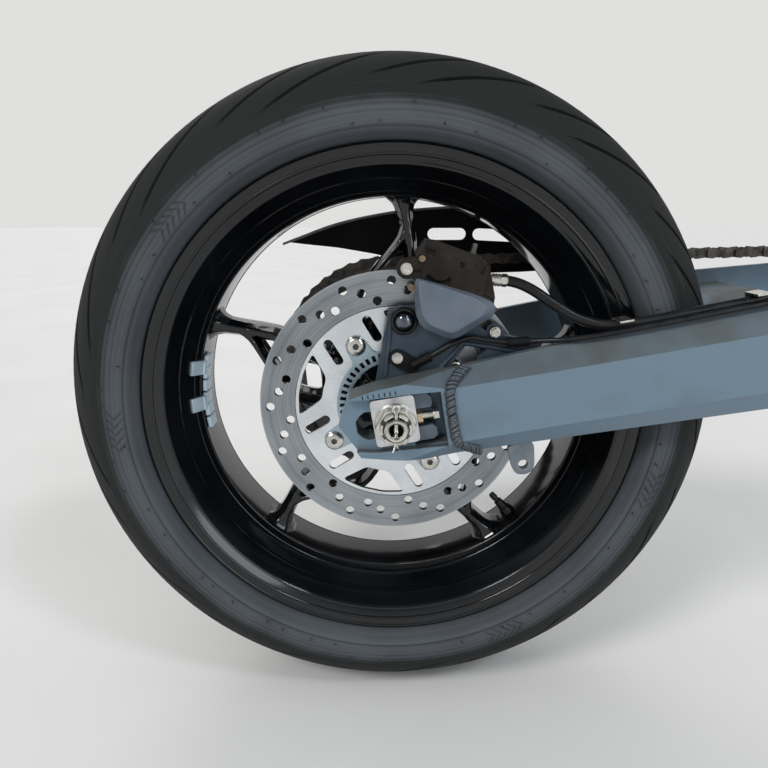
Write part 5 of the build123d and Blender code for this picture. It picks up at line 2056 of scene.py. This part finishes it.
@dataclass
class Studio:
    """Camera at the photograph's place, soft lights and a plain pale floor."""

    lens: float = 30.54
    sensor: float = 36.0
    position: Spot = (-0.5795, -0.6530, 0.0771)
    pitch: float = 14.43
    yaw: float = -0.81
    ground: float = -0.40905
    # Where each light comes from, its width in degrees, its strength and colour
    lights: tuple[tuple[str, Spot, float, float, Color], ...] = (
        ("key", (-1.5, -1.7, 1.9), 15.0, 1.25, (1.0, 0.99, 0.97)),
        ("fill", (1.9, -2.2, 1.0), 26.0, 0.55, (0.86, 0.93, 1.0)),
        ("rake", (1.0, -0.95, 1.35), 9.0, 0.55, (0.93, 0.97, 1.0)),
        ("back", (-0.6, 1.8, 1.6), 30.0, 0.45, (1.0, 0.97, 0.93)))
    # What the camera and mirrors see: colours low and high, and the heights between which they change
    backdrop: Color = (0.75, 0.745, 0.735)
    ceiling: Color = (0.16, 0.18, 0.20)
    fade: Point = (0.34, 0.72)
    # Even light from all round
    ambient: float = 0.55
    ambient_color: Color = (0.97, 0.98, 1.0)
    floor_colors: tuple[Color, Color] = ((0.72, 0.715, 0.705), (0.76, 0.755, 0.745))
    floor_roughness: float = 0.6
    floor_half: float = 30.0

    def camera(self) -> None:
        """Places the camera."""
        data = bpy.data.cameras.new("camera")
        data.lens, data.sensor_width = self.lens, self.sensor
        data.clip_start = 0.01
        made = add_object("camera", data)
        made.location = self.position
        made.rotation_euler = (math.radians(90 - self.pitch), 0, math.radians(self.yaw))
        bpy.context.scene.camera = made

    def lamps(self) -> None:
        """Places the soft lights; they are distant, so the floor is lit evenly."""
        for name, source, width, strength, color in self.lights:
            data = bpy.data.lights.new(name, "SUN")
            data.angle, data.energy, data.color = math.radians(width), strength, color
            turn = (-Vector(source)).to_track_quat("-Z", "Y").to_euler()
            add_object(name, data).rotation_euler = turn

    def world(self) -> None:
        """Even pale light, with a plain backdrop where the camera or a mirror looks."""
        world = bpy.data.worlds.new("surroundings")
        bpy.context.scene.world = world
        world.use_nodes = True
        world.node_tree.nodes.clear()
        graph = Graph(world.node_tree)
        height = graph.node("SeparateXYZ", {0: graph.node("TexCoord", {}, "Generated")}, "Z")
        backdrop = graph.blend(graph.span(height, 0.0, 1.0, *self.fade), self.backdrop, self.ceiling)
        seen = graph.node("Background", {"Color": backdrop})
        lit = graph.node("Background", {"Color": self.ambient_color, "Strength": self.ambient})
        shows = graph.node("LightPath", {}, "Is Camera Ray")
        for ray in ("Is Glossy Ray", "Is Transmission Ray"):
            other = graph.node("LightPath", {}, ray)
            shows = graph.node("Math", {0: shows, 1: other}, operation="MAXIMUM")
        end = world.node_tree.nodes.new("ShaderNodeOutputWorld")
        graph.feed(end.inputs["Surface"], graph.node("MixShader", {0: shows, 1: lit, 2: seen}))

    def floor(self) -> None:
        """Pale floor under the tyre."""
        shape = bmesh.new()
        bmesh.ops.create_grid(shape, x_segments=1, y_segments=1, size=self.floor_half,
                              matrix=at(0, 0, self.ground))
        mesh = bpy.data.meshes.new("floor")
        shape.to_mesh(mesh)
        shape.free()
        material = blank_material("pale_floor")
        graph = Graph(material.node_tree)
        cloud = graph.span(graph.noise(graph.place, 3.0), 0.0, 1.0)
        graph.dress("Base Color", graph.blend(cloud, *self.floor_colors))
        graph.dress("Roughness", self.floor_roughness)
        mesh.materials.append(material)
        add_object("floor", mesh)

    def build(self) -> None:
        """Sets up camera, lights, surroundings and floor."""
        bpy.context.scene.view_settings.view_transform = "Standard"
        self.camera()
        self.lamps()
        self.world()
        self.floor()


def corners(bounds: tuple[Vector, Vector]) -> list[list[float]]:
    """Lowest and highest corner as plain lists."""
    return [list(corner) for corner in bounds]


def main() -> None:
    """Builds the unit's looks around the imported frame."""
    logging.basicConfig(level=logging.INFO, format="%(message)s")
    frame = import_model()
    low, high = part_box("tyre")
    shop = Workshop(frame["nodes"], (low + high) / 2)
    Studio(ground=low.z).build()
    for assembly in (Tyre(), CastWheel(), BrakeDisc(), Caliper(), AxleEnds(), ChainDrive(), Arm(), Lines()):
        LOG.info("%s", type(assembly).__name__)
        assembly.build(shop)


if __name__ == "__main__":
    main()
